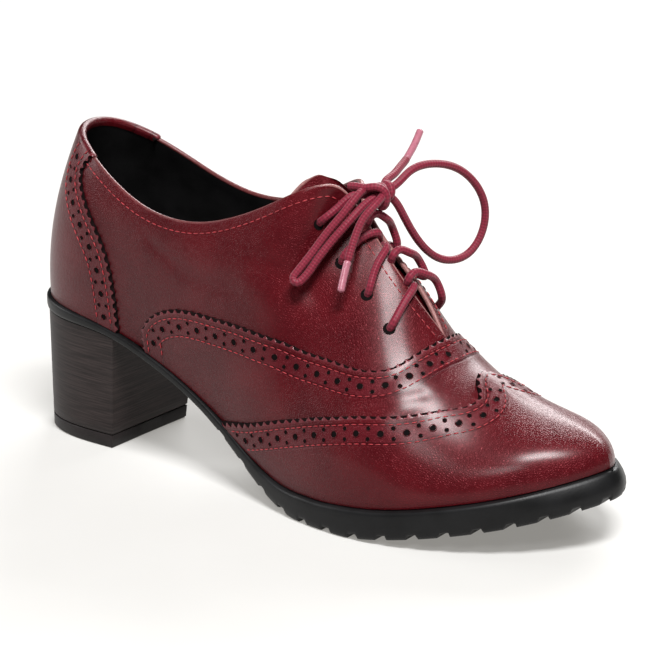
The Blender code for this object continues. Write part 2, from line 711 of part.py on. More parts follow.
def heel_ring(height):
    """Plan of the heel at a height, drawn in towards its foot."""
    seat = heel_plan()
    down = 1 - height / HEEL_HEIGHT
    narrow = 1 - down * (1 - HEEL_FOOT_SCALE)
    shorten = 1 - down * (1 - HEEL_BREAST_FOOT / HEEL_BREAST_TOP)
    return np.stack([seat[:, 0] * shorten, seat[:, 1] * narrow, np.full(len(seat), height)], axis=1)


def prism(name, low, high):
    """Closed body between two rings with the same number of points."""
    count = len(low)
    faces = [tuple(range(count)), tuple(range(2 * count - 1, count - 1, -1))]
    faces += [(j, count + j, count + (j + 1) % count, (j + 1) % count) for j in range(count)]
    return solid_mesh(name, np.concatenate([low, high]), faces)


def build_heel(material, parent):
    seat = heel_ring(HEEL_HEIGHT)
    seat[:, 2] = sole_underside(seat[:, 0]) - GAP
    return new_object("heel", prism("heel", heel_ring(TOP_PIECE_HEIGHT + GAP), seat), material, parent)


def build_heel_top_piece(material, parent):
    mesh = prism("heel_top_piece", heel_ring(0.0), heel_ring(TOP_PIECE_HEIGHT))
    return new_object("heel_top_piece", mesh, material, parent)


def build_insole(material, parent):
    stations = (1 - np.cos(np.linspace(0, math.pi, INSOLE_STATIONS))) / 2
    rings = []
    for along in stations:
        inset = float(welt(along) + sunk(along, 0.0)) + WALL + INSOLE_MARGIN
        ends = [sole_edge(side, along, inset)[0] for side in (LATERAL, MEDIAL)]
        plan = [ends[0], (ends[0] + ends[1]) / 2, ends[1]]
        low = [(x, y, float(sole_top(x)) + GAP) for x, y in plan]
        high = [(x, y, z + INSOLE_THICKNESS) for x, y, z in reversed(low)]
        rings.append(low + high)
    points, faces = ring_faces(rings)
    return new_object("insole", solid_mesh("insole", points, faces), material, parent)


def build_cord(name, route, diameter, material, parent):
    """Round cord along a smooth curve through its route."""
    spread = np.sum(np.linalg.norm(np.diff(np.array(route), axis=0), axis=1))
    points = smooth_line(route, max(4, int(spread / CORD_STEP) + 1))
    curve = bpy.data.curves.new(name, "CURVE")
    curve.dimensions = "3D"
    curve.bevel_depth = diameter * MM / 2
    curve.bevel_resolution = 2
    curve.use_fill_caps = True
    line = curve.splines.new("POLY")
    line.points.add(len(points) - 1)
    for target, point in zip(line.points, points):
        target.co = (*(Vector(point) * MM), 1.0)
    curve.materials.append(material)
    cord = bpy.data.objects.new(name, curve)
    cord.parent = parent
    bpy.context.scene.collection.objects.link(cord)
    return cord


def build_lace_crossing(number, row, material, parent):
    """The two strands of a row, from hole to hole over the facings, joined where they cross."""
    along, up, crossing, lift = row
    route = {}
    for side in (LATERAL, MEDIAL):
        route[side] = wall_points(side, along + (crossing - along) * STRAND_SHARES,
                                  up + (1 - up) * STRAND_SHARES, LACE_LIFT)
    middle = (route[LATERAL][-1] + route[MEDIAL][-1]) / 2 + lift * FACING_OUT
    points = [*route[LATERAL], middle, *route[MEDIAL][::-1]]
    return build_cord(f"lace_crossing_{number}", points, LACE_DIAMETER, material, parent)


def build_lace_knot(material, parent):
    shape = bmesh.new()
    bmesh.ops.create_icosphere(shape, subdivisions=2, radius=MM)
    bmesh.ops.scale(shape, vec=Vector(KNOT_RADII), verts=shape.verts)
    bmesh.ops.translate(shape, vec=Vector(KNOT) * MM, verts=shape.verts)
    mesh = bpy.data.meshes.new("lace_knot")
    shape.to_mesh(mesh)
    shape.free()
    return new_object("lace_knot", mesh, material, parent)


def main():
    for old in list(bpy.data.objects):
        bpy.data.objects.remove(old, do_unlink=True)
    leather = (0.16, 0.012, 0.022)
    materials = {
        "upper": new_material("burgundy_leather", leather, 0.32),
        "vamp": new_material("burgundy_vamp_leather", leather, 0.32),
        "toe_cap": new_material("burgundy_cap_leather", leather, 0.30),
        "heel_counter": new_material("burgundy_counter_leather", leather, 0.32),
        "tongue": new_material("burgundy_tongue_leather", (0.12, 0.012, 0.020), 0.42),
        "insole": new_material("black_sock_lining", (0.012, 0.011, 0.011), 0.60),
        "outsole": new_material("black_rubber", (0.010, 0.010, 0.011), 0.45),
        "heel": new_material("dark_stacked_heel", (0.030, 0.022, 0.020), 0.50),
        "heel_top_piece": new_material("black_top_piece_rubber", (0.014, 0.012, 0.012), 0.55),
        "lace": new_material("crimson_waxed_cord", (0.30, 0.030, 0.070), 0.55),
        "aglet": new_material("rose_film_tip", (0.45, 0.12, 0.17), 0.30),
    }
    shoe = bpy.data.objects.new("oxford_shoe", None)
    shoe.location = (-ORIGIN_X * MM, -ORIGIN_Y * MM, 0.0)
    bpy.context.scene.collection.objects.link(shoe)

    build_outsole(materials["outsole"], shoe)
    build_heel(materials["heel"], shoe)
    build_heel_top_piece(materials["heel_top_piece"], shoe)
    build_insole(materials["insole"], shoe)
    build_upper(materials["upper"], shoe)
    build_vamp(materials["vamp"], shoe)
    build_toe_cap(materials["toe_cap"], shoe)
    build_heel_counter(materials["heel_counter"], shoe)
    build_tongue(materials["tongue"], shoe)
    for number, row in enumerate(LACE_ROWS, start=1):
        build_lace_crossing(number, row, materials["lace"], shoe)
    build_lace_knot(materials["lace"], shoe)
    build_cord("lace_loop_lateral", LOOP_LATERAL_ROUTE, LACE_DIAMETER, materials["lace"], shoe)
    build_cord("lace_loop_medial", LOOP_MEDIAL_ROUTE, LACE_DIAMETER, materials["lace"], shoe)
    build_cord("lace_end_lateral", END_LATERAL_ROUTE, LACE_DIAMETER, materials["lace"], shoe)
    build_cord("lace_end_medial", END_MEDIAL_ROUTE, LACE_DIAMETER, materials["lace"], shoe)
    build_cord("aglet_lateral", AGLET_LATERAL_ROUTE, AGLET_DIAMETER, materials["aglet"], shoe)
    build_cord("aglet_medial", AGLET_MEDIAL_ROUTE, AGLET_DIAMETER, materials["aglet"], shoe)


main()
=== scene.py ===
"""Looks of a burgundy brogue oxford with a block heel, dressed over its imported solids.

Tables and lengths are in millimetres from the back of the sole on the floor, as in the part's source:
+X from heel to toe, +Y towards the medial side, +Z up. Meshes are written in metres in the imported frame.
"""
import math

import bmesh
import bpy
import numpy as np
from mathutils import Matrix, Vector
from mathutils.kdtree import KDTree


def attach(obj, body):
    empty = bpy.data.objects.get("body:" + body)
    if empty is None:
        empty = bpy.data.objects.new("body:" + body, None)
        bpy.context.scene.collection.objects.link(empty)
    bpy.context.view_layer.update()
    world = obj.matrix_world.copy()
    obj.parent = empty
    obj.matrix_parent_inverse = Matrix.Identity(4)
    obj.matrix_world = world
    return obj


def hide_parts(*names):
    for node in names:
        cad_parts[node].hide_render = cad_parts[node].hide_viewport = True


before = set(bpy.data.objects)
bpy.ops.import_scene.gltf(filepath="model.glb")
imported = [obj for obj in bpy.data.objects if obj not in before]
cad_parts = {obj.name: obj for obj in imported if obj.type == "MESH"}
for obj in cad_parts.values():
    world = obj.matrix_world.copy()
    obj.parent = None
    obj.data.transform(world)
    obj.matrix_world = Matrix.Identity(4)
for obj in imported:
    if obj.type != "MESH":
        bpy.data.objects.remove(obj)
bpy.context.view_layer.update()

# Sizes shared with the solids
MM = 0.001
GAP = 0.3
SHOE_LENGTH = 237.5
TOE_TIP_Y = 2.4
ORIGIN = np.array([SHOE_LENGTH / 2, -2.4, 0.0])
HEEL_HEIGHT = 46.0
TOP_PIECE_HEIGHT = 5.0
HEEL_BREAST_TOP = 45.0
HEEL_BREAST_FOOT = 41.2
HEEL_FOOT_SCALE = 0.87
HEEL_INSET = 0.8
WALL = 1.8
LACE_DIAMETER = 2.8
AGLET_DIAMETER = 2.6
LUG_PITCH = 11.0
LUG_START = 0.40
NOTCH_WIDTH = 3.6
NOTCH_DEPTH = 1.5
NOTCH_REACH = 9.0
TOE_ROUNDING = (0.80, 0.95)   # along the sole, where the rounder toe edge begins and is full
LATERAL, MEDIAL = -1, 1
SIDES = (LATERAL, MEDIAL)
EDGE_SAMPLES = 1200
PATH_SAMPLES = 400
TIP_CLEAR = 0.01             # the lines along the wall run together at the very tip
RIDGE_STEP = 0.004           # small steps that give directions: on the ridge, out of the wall, on a line
NORMAL_STEP = 0.0004
PLACE_STEP = 0.0005
WALL_SCALE = np.array([285.0, 70.0])    # millimetres along and up the wall, roughly

# Heights of the leather layers over the wall, and their thickness
VAMP_HEIGHT = 1.15
CAP_HEIGHT = 2.55
COUNTER_HEIGHT = 1.1
LEATHER = 1.3
ROLL = 0.12                  # how far a cut edge is rolled down
ROLL_SLACK = 0.2             # room inside the leather that is folded over the collar

# Pinked edges, stitches and punched holes
TOOTH_PITCH = 3.4
TOOTH_DEPTH = 1.9
TOOTH_STEPS = 8
STITCH_PITCH = 2.6
STITCH_SIZE = (2.0, 0.46, 0.40)
OUTER_ROW = 2.2              # first stitch row, from the pinked edge
HOLE_ROW = 5.2               # middle of the punched band
INNER_ROW = 8.7              # second stitch row
HOLE_PITCH = 8.7
LARGE_HOLE = 1.22            # radii
SMALL_HOLE = 0.76
SMALL_SPREAD = 1.75          # small holes above and below the middle of the band
COLLAR_ROW = 3.2
STITCH_SEAT = 0.10           # heights over the leather
HOLE_SEAT = 0.05
EYELET = 2.15
EYELET_SEAT = 0.06
LINE_STEP = 1.0              # spacing of the samples on a stitched line
RUN_STEP = 0.3               # short way along a row that gives a stitch its direction
ROW_END = 0.3                # share of a pitch left free at the end of a row
ROW_FOOT, ROW_TOP = 0.025, 0.997    # no stitch or hole lies nearer the sole or the top line
CUT_REACH = -2.0             # stands for the cut edge in the distance from a panel's edge

COLLAR_ROUTE = tuple((along, 1.0) for along in (
    0.0, 0.06, 0.13, 0.21, 0.28, 0.34, 0.40, 0.45, 0.49, 0.515, 0.535, 0.57, 0.605, 0.625))
VAMP_INNER = ((0.30, 0.0), (0.45, 0.0), (0.52, 0.10), (0.60, 0.20), (0.66, 0.30), (0.70, 0.42), (0.735, 0.58),
              (0.76, 0.75), (0.76, 0.88), (0.745, 1.0))

# Lace strands over the facings
FACING_OUT = np.array([0.78, 0.0, 0.63])
STRAND_CROSSINGS = (None, (0.5625, 0.5525), (0.5715, 0.5765), (0.5965, 0.5910))    # along, lateral and medial
LATERAL_STRAND = ((0.25, -1.13, 1.8), (0.60, -1.05, 1.9), (1.0, -0.5, 1.1), (1.3, 0.3, -1.6))
MEDIAL_STRAND = ((0.014, 1.13, 3.2), (0.008, 1.08, 4.6), (0.002, 0.85, 4.3), (-0.0005, 0.0, 3.9),
                 (0.0005, -0.75, 2.7), (0.003, -0.55, -1.2))
HOLE_DIP = -1.4              # height at which a strand ends, under the facing
HOLE_MOUTH = 0.02            # where it comes out, up the wall from its hole
OUT_LIFTS = {LATERAL: 1.1, MEDIAL: 1.3}    # its height there, in the crossed rows and in the top row
TOP_ROW_LIFT = 1.2
# Strands of the top row: side, places on the facing (ahead, across, lift), and the last step to the knot
TOP_ROW_STRANDS = (
    (LATERAL, ((0.006, -1.07, 1.9), (0.0095, -1.0, 2.4)), (-3.0, -2.0, -1.0)),
    (MEDIAL, ((0.006, 1.07, 2.2), (0.010, 1.0, 2.6)), (-1.5, 2.5, -1.5)),
)
KNOT_TURNS = 1.6
KNOT_REACH = (-2.6, 3.6)     # of the coil across the shoe
KNOT_HALF_LENGTH, KNOT_HALF_HEIGHT = 2.4, 2.3
KNOT_HEART = (142.2, 2.6, 106.6)
KNOT_WRAP = ((132.5, -3.6, 108.4), (135.5, -3.7, 108.8), (138.9, -3.3, 108.8), (141.7, -2.2, 109.3),
             (143.9, -0.8, 108.5), (145.0, -0.1, 106.2), (144.6, 0.2, 103.6), (142.6, 1.2, 101.9),
             (139.8, 2.6, 102.0))
TIP_GRIP = 0.6               # cord this near the middle line of a tip lies inside it
TIP_WALL = 0.35              # and is thinner than the tip by this

# Tongue, insole and heel
TONGUE_HEAD, TONGUE_FOOT = 0.542, 0.665
TONGUE_SPREAD = 0.30
TONGUE_GAP = 0.6
TONGUE_THICKNESS = 1.8
TONGUE_RISE = 12.0
TONGUE_LOBE = ((-1.0, (116.2, -15.6, 104.2)), (-0.6, (119.4, -11.2, 109.4)), (-0.2, (122.4, -6.8, 111.4)),
               (0.2, (125.8, -3.0, 109.6)), (0.6, (128.6, 1.5, 106.0)), (1.0, (130.0, 5.0, 103.0)))
TONGUE_BLEND = 0.15
TONGUE_BACK = np.array([-0.8, 0.0, -0.3])    # from the face of the lobe to its back
WAVE_HEIGHT = 0.30           # soft waves in the lobe
WAVES_ACROSS, WAVE_LAG = 11, 2
WAVE_WAY = np.array([0.5, 0.0, 0.8])
INSOLE_THICKNESS = 2.2
INSOLE_CLEARANCE = 0.6
INSOLE_DISH = 0.5
INSOLE_EDGE = 0.9            # drop at the rounded edge
INSOLE_ROUNDING = 12         # higher for a tighter edge
HEEL_EDGE = 0.25
LIFT_EDGE = 0.6
LIFT_TOP_EDGE, LIFT_TOP_INSET = 0.3, 0.35

# Fineness of the meshes
UPPER_COLUMNS, UPPER_FRONT, UPPER_ROWS = 230, 60, 56
LINING_ROWS = 14
RIM_STEPS = 6
TONGUE_ROWS, TONGUE_ACROSS, TONGUE_HEAD_ROWS = 40, 25, 10
INSOLE_STATIONS, INSOLE_ACROSS = 60, 15
HEEL_STEPS, BREAST_STEPS, HEEL_LIFTS = 48, 16, 12
CORD_SIDES = 14
STRAND_SAMPLES, COIL_SAMPLES, WRAP_SAMPLES = 60, 80, 70
LOOP_SAMPLES, END_SAMPLES, TIP_SAMPLES = 120, 90, 24
TIP_SPARE = 2                # samples by which a cord stops short of the end of its tip
SEAT_STEPS, WAIST_STEPS, TOE_STEPS = 12, 90, 24
SEAT_END, TOE_END = 0.03, 0.015    # stretches with closer stations at both ends of the sole
DOME = ((0.30, 0.75), (0.50, 0.30))    # domed end of a cord: outwards and width, in radii
NOTCH_STEP = 0.5
MERGE = 1e-6
SHARP_ANGLE = math.radians(50)
FEATHER_TUCK = 0.2
ROLL_STEPS = 8
ROLL_DROP = 1.2
RIM_LIP = 0.06
PROBE_DEPTH = 8.0            # a point this far below the wall is inside the shoe
LEAST_WIDTH = 1e-6
MOST_ACROSS = 0.45           # an inset ends at this share of the sole's width
FACING_START = (0.49, 0.515)    # along, where the collar rim with its faint painted highlight turns to the raw rim of the facing
# Share of the pale raw colour on the rim: a faint painted highlight on the collar, the raw leather edge on the
# facing.
RIM_BARE_AND_HIGHLIGHT = (0.25, 1.0)
ROUND_INSET = 2.0            # insets up to this are square to the edge, the rest straight across

# Side and underside of the outsole: share of its height, inset from the edge, share of a notch's depth and
# inset at the toe
SOLE_LEVELS = (
    (1.0, 9.0, 0.0, 0.0), (1.0, 1.5, 0.0, 2.6), (0.985, 0.7, 0.0, 2.6), (0.94, 0.25, 0.0, 2.4),
    (0.84, 0.0, 0.0, 2.0), (0.66, 0.0, 0.0, 1.0), (0.45, 0.0, 0.0, 0.25), (0.30, 0.05, 0.1, 0.0),
    (0.14, 0.25, 0.5, 0.0), (0.04, 0.7, 0.9, 0.0), (0.0, 1.4, 1.0, 0.0), (0.0, NOTCH_REACH, 1.0, 0.0),
    (0.0, NOTCH_REACH + 0.6, 0.0, 0.0), (0.0, 40.0, 0.0, 0.0),
)

# Camera fitted to the photograph, and the frame drawn in to the shoe
CAMERA_ANGLES = (34.413, 17.379, 0.72)
CAMERA_EYE = (0.52985, -0.7354, 0.3407)
CAMERA_LENS = 113.31
CAMERA_SENSOR = 36.0
CAMERA_ZOOM = 1.3
CAMERA_SHIFT = (-0.066, -0.0145)

# Studio: name, place, aim, size and power of each softbox
FLOOR_SIZE = 8.0
FLOOR_GLOW = 0.27
SOFTBOXES = (
    ("key_softbox", (0.80, -0.66, 1.85), (0.05, 0.0, 0.05), (0.80, 0.42), 76.0),
    ("front_softbox", (0.60, -1.45, 1.35), (0.0, 0.0, 0.05), (0.6, 0.4), 9.0),
    ("backdrop_panel", (-0.45, 1.75, 1.15), (0.05, 0.0, 0.05), (1.6, 0.8), 54.0),
    ("left_fill", (-2.0, -0.5, 0.9), (0.0, 0.0, 0.05), (1.2, 1.0), 21.0),
)
ROOM_COLOUR = (1.0, 1.0, 1.0)
ROOM_STRENGTH = 0.04

# Finishes, with colours in linear light
GRAIN_SIZE, GRAIN_DEPTH = 0.7, 0.13
WINE_DEEP = (0.036, 0.0014, 0.0028)
WINE_BRIGHT = (0.078, 0.0030, 0.0056)
WINE_HOLLOW = (0.028, 0.0012, 0.003)
WINE_BAND = (0.085, 0.009, 0.015)
WINE_GROOVE = (0.024, 0.0012, 0.003)
# Painted highlight: a paler tone laid along the pinked edges.
PAINTED_EDGE_HIGHLIGHT = (0.16, 0.036, 0.045)
WINE_SHINE = (1.0, 0.21, 0.25)
# Pale raw leather colour, also laid faintly on the collar rim as a painted highlight.
RAW_EDGE_AND_RIM_HIGHLIGHT = (0.30, 0.15, 0.14)
GROOVE_WIDTH = (0.75, 0.1)
GROOVE_DEPTH = 0.25
BAND_FADE = 0.8
STACK_GRAIN = (0.06, 0.06, 2.2)
STACK_LIFT = 4.6
BRAID_YARNS, BRAID_PITCH = 8, 2.2
# Dark and light tone, size of the patches, roughness, depth and size of the fine tooth, and reflection
PLAIN_FINISHES = {
    "black_lining": ((0.0018, 0.0017, 0.0018), (0.0042, 0.004, 0.0042), 9.0, 0.6, 0.05, 0.5, 0.15),
    "black_rubber": ((0.0038, 0.0038, 0.004), (0.007, 0.007, 0.0075), 12.0, 0.42, 0.03, 0.6, 0.20),
    "black_lift_rubber": ((0.009, 0.007, 0.007), (0.016, 0.012, 0.012), 10.0, 0.5, 0.04, 0.7, 0.18),
    # The hole finish is painted shade: black discs that stand for the shade inside punched holes and lace
    # holes.
    "punched_hole_painted_shade": ((0.002, 0.0015, 0.0015), (0.004, 0.0025, 0.0025), 3.0, 0.8, 0.03, 0.3, 0.05),
    # The cut edge finish is partly the real dark edge paint and partly painted shade, where the cut edge fills
    # the notches between the teeth.
    "black_cut_edge_and_notch_shade": ((0.003, 0.0015, 0.0015), (0.007, 0.003, 0.003), 2.0, 0.8, 0.03, 0.3, 0.05),
    "red_thread": ((0.20, 0.008, 0.013), (0.33, 0.016, 0.024), 1.5, 0.55, 0.05, 0.2, 0.5),
}


def table(names, *rows):
    """A dictionary with one array for each named column of the rows."""
    return dict(zip(names.split(), np.array(rows, dtype=float).T))


# Plan of the sole edge, without its two end points
SOLE_PLAN = table(
    "x lateral medial",
    (4, -12.5, 12.5), (12, -20.0, 20.0), (26, -24.6, 24.6), (46, -25.5, 25.0), (70, -26.5, 22.0),
    (95, -29.5, 20.0), (120, -35.8, 22.5), (142, -41.6, 29.0), (158, -43.2, 34.8),
    (176, -41.6, 38.4), (194, -36.4, 38.4), (211, -28.2, 33.6), (225, -17.4, 24.4),
    (234, -6.5, 12.8),
)

# Side profile of the sole: its underside and its thickness
SOLE_PROFILE = table(
    "x underside thickness",
    (0, 46.0, 5.4), (20, 45.4, 4.4), (42, 43.6, 3.0), (60, 37.8, 3.2), (80, 29.2, 3.4),
    (100, 17.4, 4.6), (115, 7.4, 6.4), (128, 1.6, 8.2), (136, 0.0, 9.3), (147, 0.0, 9.5),
    (158, 0.0, 10.3), (169, 1.3, 10.1), (185, 4.2, 10.0), (205, 8.6, 10.2), (222, 13.2, 10.4),
    (237.5, 18.2, 10.4),
)

# Sections of the last. "along" runs from the back seam (0) to the toe tip (1) by the length of the sole edge.
# The top line is the collar, then the lace facing, then the ridge from the throat to the toe.
THROAT = 0.63
TOP_LINE = table(
    "along x half z middle medial_drop",
    (0.00, 15.5, 0.0, 114.0, 0.0, 0.0),
    (0.06, 19.0, 11.0, 112.5, 0.0, 0.0),
    (0.13, 30.0, 18.6, 107.4, 0.0, 0.0),
    (0.21, 44.0, 22.6, 100.2, 0.0, 0.4),
    (0.28, 59.0, 24.8, 93.9, 0.0, 0.8),
    (0.34, 74.0, 25.2, 91.2, 0.0, 1.2),
    (0.40, 92.0, 23.8, 93.6, 0.0, 1.6),
    (0.45, 110.0, 20.4, 101.4, 0.0, 2.2),
    (0.49, 123.0, 15.2, 108.2, 0.0, 2.8),
    (0.515, 129.6, 9.3, 108.8, 0.0, 3.0),
    (0.535, 133.2, 4.9, 104.6, 0.0, 2.4),
    (0.57, 145.0, 3.2, 89.3, 0.0, 1.0),
    (0.605, 160.8, 3.0, 72.4, 0.0, 0.0),
    (0.63, 170.5, 0.0, 60.5, 0.0, 0.0),
    (0.67, 179.0, 0.0, 52.4, 0.4, 0.0),
    (0.72, 187.0, 0.0, 50.1, 0.9, 0.0),
    (0.78, 196.0, 0.0, 47.0, 1.5, 0.0),
    (0.85, 204.5, 0.0, 44.2, 2.1, 0.0),
    (0.92, 211.9, 0.0, 42.0, 2.6, 0.0),
    (1.00, 218.7, 0.0, 40.1, 3.0, 0.0),
)

# How far the sole stands out beyond the upper
WELT = table(
    "along width",
    (0.00, 1.4), (0.12, 1.4), (0.25, 1.2), (0.40, 1.0), (0.55, 1.2), (0.70, 2.2), (0.85, 2.8),
    (0.93, 3.3), (1.00, 3.8),
)

# How far the upper lies inside the outer form, to leave room for the leather over it
SUNK = table(
    "along foot top",
    (0.00, 1.1, 1.1), (0.10, 1.1, 1.1), (0.22, 0.5, 0.0), (0.30, 1.0, 0.0), (0.40, 1.6, 0.0),
    (0.50, 3.0, 0.0), (0.62, 3.0, 0.0), (0.70, 3.0, 1.4), (0.78, 3.0, 3.0), (1.00, 3.0, 3.0),
)

# How each section leaves the top line (back, out, down, and along the ridge) and the sole (rise and lean)
RIB = table(
    "along back out down slide rise lean_lateral lean_medial",
    (0.00, 9.0, 0.0, 22.0, 0.0, 22.0, 0.0, 0.0),
    (0.06, 6.0, 5.5, 21.0, 0.0, 22.0, 1.0, 1.0),
    (0.13, 3.0, 7.0, 19.0, 0.0, 21.0, 2.0, 2.0),
    (0.21, 1.0, 5.0, 17.0, 0.0, 20.0, 2.0, 2.5),
    (0.28, 0.0, 4.5, 16.0, 0.0, 18.0, 2.0, 3.5),
    (0.34, -1.0, 4.5, 17.0, 0.0, 18.0, 2.0, 5.0),
    (0.40, 1.0, 7.0, 18.0, 0.0, 18.0, 2.0, 7.0),
    (0.45, 4.0, 10.0, 18.0, 0.0, 19.0, 3.0, 7.0),
    (0.49, 8.0, 12.0, 18.0, 0.0, 20.0, 3.0, 6.0),
    (0.535, 11.0, 14.0, 14.0, 0.0, 22.0, 3.0, 5.0),
    (0.57, 8.0, 15.0, 9.0, 0.0, 24.0, 3.0, 4.0),
    (0.605, 5.0, 19.0, 5.0, 0.0, 27.0, 3.0, 3.0),
    (0.63, 2.0, 23.0, 1.0, 0.0, 29.0, 3.0, 3.0),
    (0.70, 0.0, 20.4, 0.0, 2.0, 20.0, 2.0, 2.0),
    (0.78, 0.0, 17.1, 0.0, 9.2, 12.5, 1.0, 1.0),
    (0.86, 0.0, 15.8, 0.0, 12.8, 10.2, 0.0, 0.0),
    (0.93, 0.0, 12.4, 0.0, 9.4, 6.2, 0.0, 0.0),
    (1.00, 0.0, 0.0, 0.0, 9.2, 7.0, 0.0, 0.0),
)

# Front edge of the counter, rear edge of the toe cap and upper edge of the vamp, as (along, up) on the wall
COUNTER_EDGE = (
    (0.222, 0.00), (0.221, 0.22), (0.216, 0.40), (0.206, 0.52), (0.179, 0.65), (0.147, 0.76),
    (0.124, 0.88), (0.138, 1.00),
)
TOE_CAP_EDGE = (
    (0.411, 0.00), (0.434, 0.08), (0.457, 0.14), (0.485, 0.197), (0.518, 0.238), (0.555, 0.276),
    (0.588, 0.323), (0.616, 0.37), (0.643, 0.426), (0.679, 0.53), (0.706, 0.63), (0.730, 0.72),
    (0.735, 0.80), (0.714, 0.90), (0.700, 1.00),
)
VAMP_EDGE = (
    (0.2705, 0.0), (0.270, 0.06), (0.270, 0.12), (0.280, 0.22), (0.292, 0.29), (0.329, 0.425),
    (0.368, 0.495), (0.408, 0.512), (0.455, 0.495), (0.505, 0.470), (0.551, 0.475), (0.582, 0.515),
    (0.608, 0.569), (0.622, 0.640), (0.628, 0.760), (0.6295, 0.880), (0.630, 1.000),
)

# Punched panels: the edge is pinked and the inner line hidden. A panel that lies towards the toe from its edge
# has inward 1.
PANELS = (
    dict(name="vamp_leather", node="vamp", route=VAMP_EDGE, inner_route=VAMP_INNER, rows=34, crowding=1.5,
         height=VAMP_HEIGHT, inward=1),
    dict(name="wing_cap_leather", node="toe_cap", route=TOE_CAP_EDGE, inner_route=((1, 0), (1, 1)), rows=46,
         crowding=1.35, height=CAP_HEIGHT, inward=1, level_rows=True),
    dict(name="heel_counter_leather", node="heel_counter", route=COUNTER_EDGE, inner_route=((0, 0), (0, 1)),
         rows=34, crowding=1.5, height=COUNTER_HEIGHT, inward=-1, level_rows=True,
         roll=COUNTER_HEIGHT + WALL + ROLL_SLACK),
)

# Lace holes on the wall, as (along, up)
LACE_ROWS = ((0.526, 0.838), (0.557, 0.796), (0.582, 0.802), (0.605, 0.786))

# Bow: routes listed from the knot outwards
KNOT = (142.0, 2.5, 106.6)
LOOP_LATERAL_ROUTE = (
    (138.4, -1.6, 107.8), (138.4, -6.8, 107.2), (136.4, -12.2, 101.8), (132.6, -16.6, 95.1),
    (129.2, -21.2, 87.9), (126.3, -25.6, 81.9), (126.0, -26.7, 79.9), (127.4, -26.6, 79.1),
    (128.7, -25.4, 80.1), (131.7, -20.8, 86.6), (135.1, -16.1, 93.4), (138.5, -11.1, 99.6),
    (140.2, -3.6, 104.3),
)
LOOP_MEDIAL_ROUTE = (
    (144.6, 6.4, 108.9), (146.2, 11.5, 112.4), (149.6, 22.7, 113.6), (152.6, 31.5, 110.7),
    (155.4, 39.0, 104.1), (156.9, 42.9, 96.1), (156.8, 42.6, 87.7), (154.5, 36.5, 79.4),
    (151.2, 28.0, 78.6), (147.6, 17.6, 86.0), (145.0, 10.2, 97.5), (143.6, 6.4, 103.4),
)
END_LATERAL_ROUTE = (
    (144.4, -2.4, 105.8), (144.6, -6.8, 104.0), (143.0, -10.6, 100.2), (142.2, -13.4, 95.6),
    (142.0, -17.8, 87.4),
)
AGLET_LATERAL_ROUTE = ((142.0, -18.1, 86.8), (142.2, -20.4, 82.4), (142.6, -22.6, 78.2))
END_MEDIAL_ROUTE = ((139.9, 6.8, 109.0), (139.4, 11.9, 110.2), (138.4, 17.4, 111.6), (137.3, 23.0, 113.2))
AGLET_MEDIAL_ROUTE = ((137.1, 23.7, 113.5), (136.0, 29.6, 116.6), (134.8, 35.0, 120.4))


def unit(vectors):
    """Vectors drawn out or in to length 1."""
    return vectors / np.linalg.norm(vectors, axis=-1, keepdims=True)


def lengths(points):
    """Distance walked along a line from its first point to each one."""
    return np.concatenate([[0], np.cumsum(np.linalg.norm(np.diff(points, axis=0), axis=1))])


def read_line(at, marks, points):
    """Points of a line at places between its marks."""
    return np.stack([np.interp(at, marks, axis) for axis in points.T], axis=-1)


def spline(knots, values, at):
    """Natural cubic spline through (knots, values), read at the places in at."""
    count = len(knots)
    step = np.diff(knots)
    slope = np.diff(values) / step
    matrix = np.eye(count)
    right = np.zeros(count)
    for i in range(1, count - 1):
        matrix[i, i - 1:i + 2] = step[i - 1], 2 * (step[i - 1] + step[i]), step[i]
        right[i] = 6 * (slope[i] - slope[i - 1])
    bend = np.linalg.solve(matrix, right)
    at = np.asarray(at, dtype=float)
    k = np.clip(np.searchsorted(knots, at, side="right") - 1, 0, count - 2)
    a = (knots[k + 1] - at) / step[k]
    b = 1 - a
    curve = ((a ** 3 - a) * bend[k] + (b ** 3 - b) * bend[k + 1]) * step[k] ** 2 / 6
    return a * values[k] + b * values[k + 1] + curve


def mirrored_spline(knots, values, at, sign):
    """Spline over 0 to 1 that runs on smoothly into its mirror image at both ends."""
    before = slice(3, 0, -1)
    after = slice(-2, -5, -1)
    knots_on = np.concatenate([-knots[before], knots, 2 - knots[after]])
    values_on = np.concatenate([sign * values[before], values, sign * values[after]])
    return spline(knots_on, values_on, at)


def spline_points(knots, points, at):
    """Smooth curve through points, read at the places in at."""
    return np.stack([spline(knots, axis, at) for axis in points.T], axis=1)


def mirrored(rows, along, odd=()):
    """Columns of a table at places along the shoe. Odd ones change sign in the mirror image."""
    return {name: mirrored_spline(rows["along"], column, along, -1 if name in odd else 1)
            for name, column in rows.items() if name != "along"}


def smooth_line(points, samples):
    """Points spaced evenly along a smooth curve through the given points."""
    points = np.array(points, dtype=float)
    chord = lengths(points)
    path = spline_points(chord, points, np.linspace(0, chord[-1], PATH_SAMPLES))
    walked = lengths(path)
    return read_line(np.linspace(0, walked[-1], samples), walked, path)


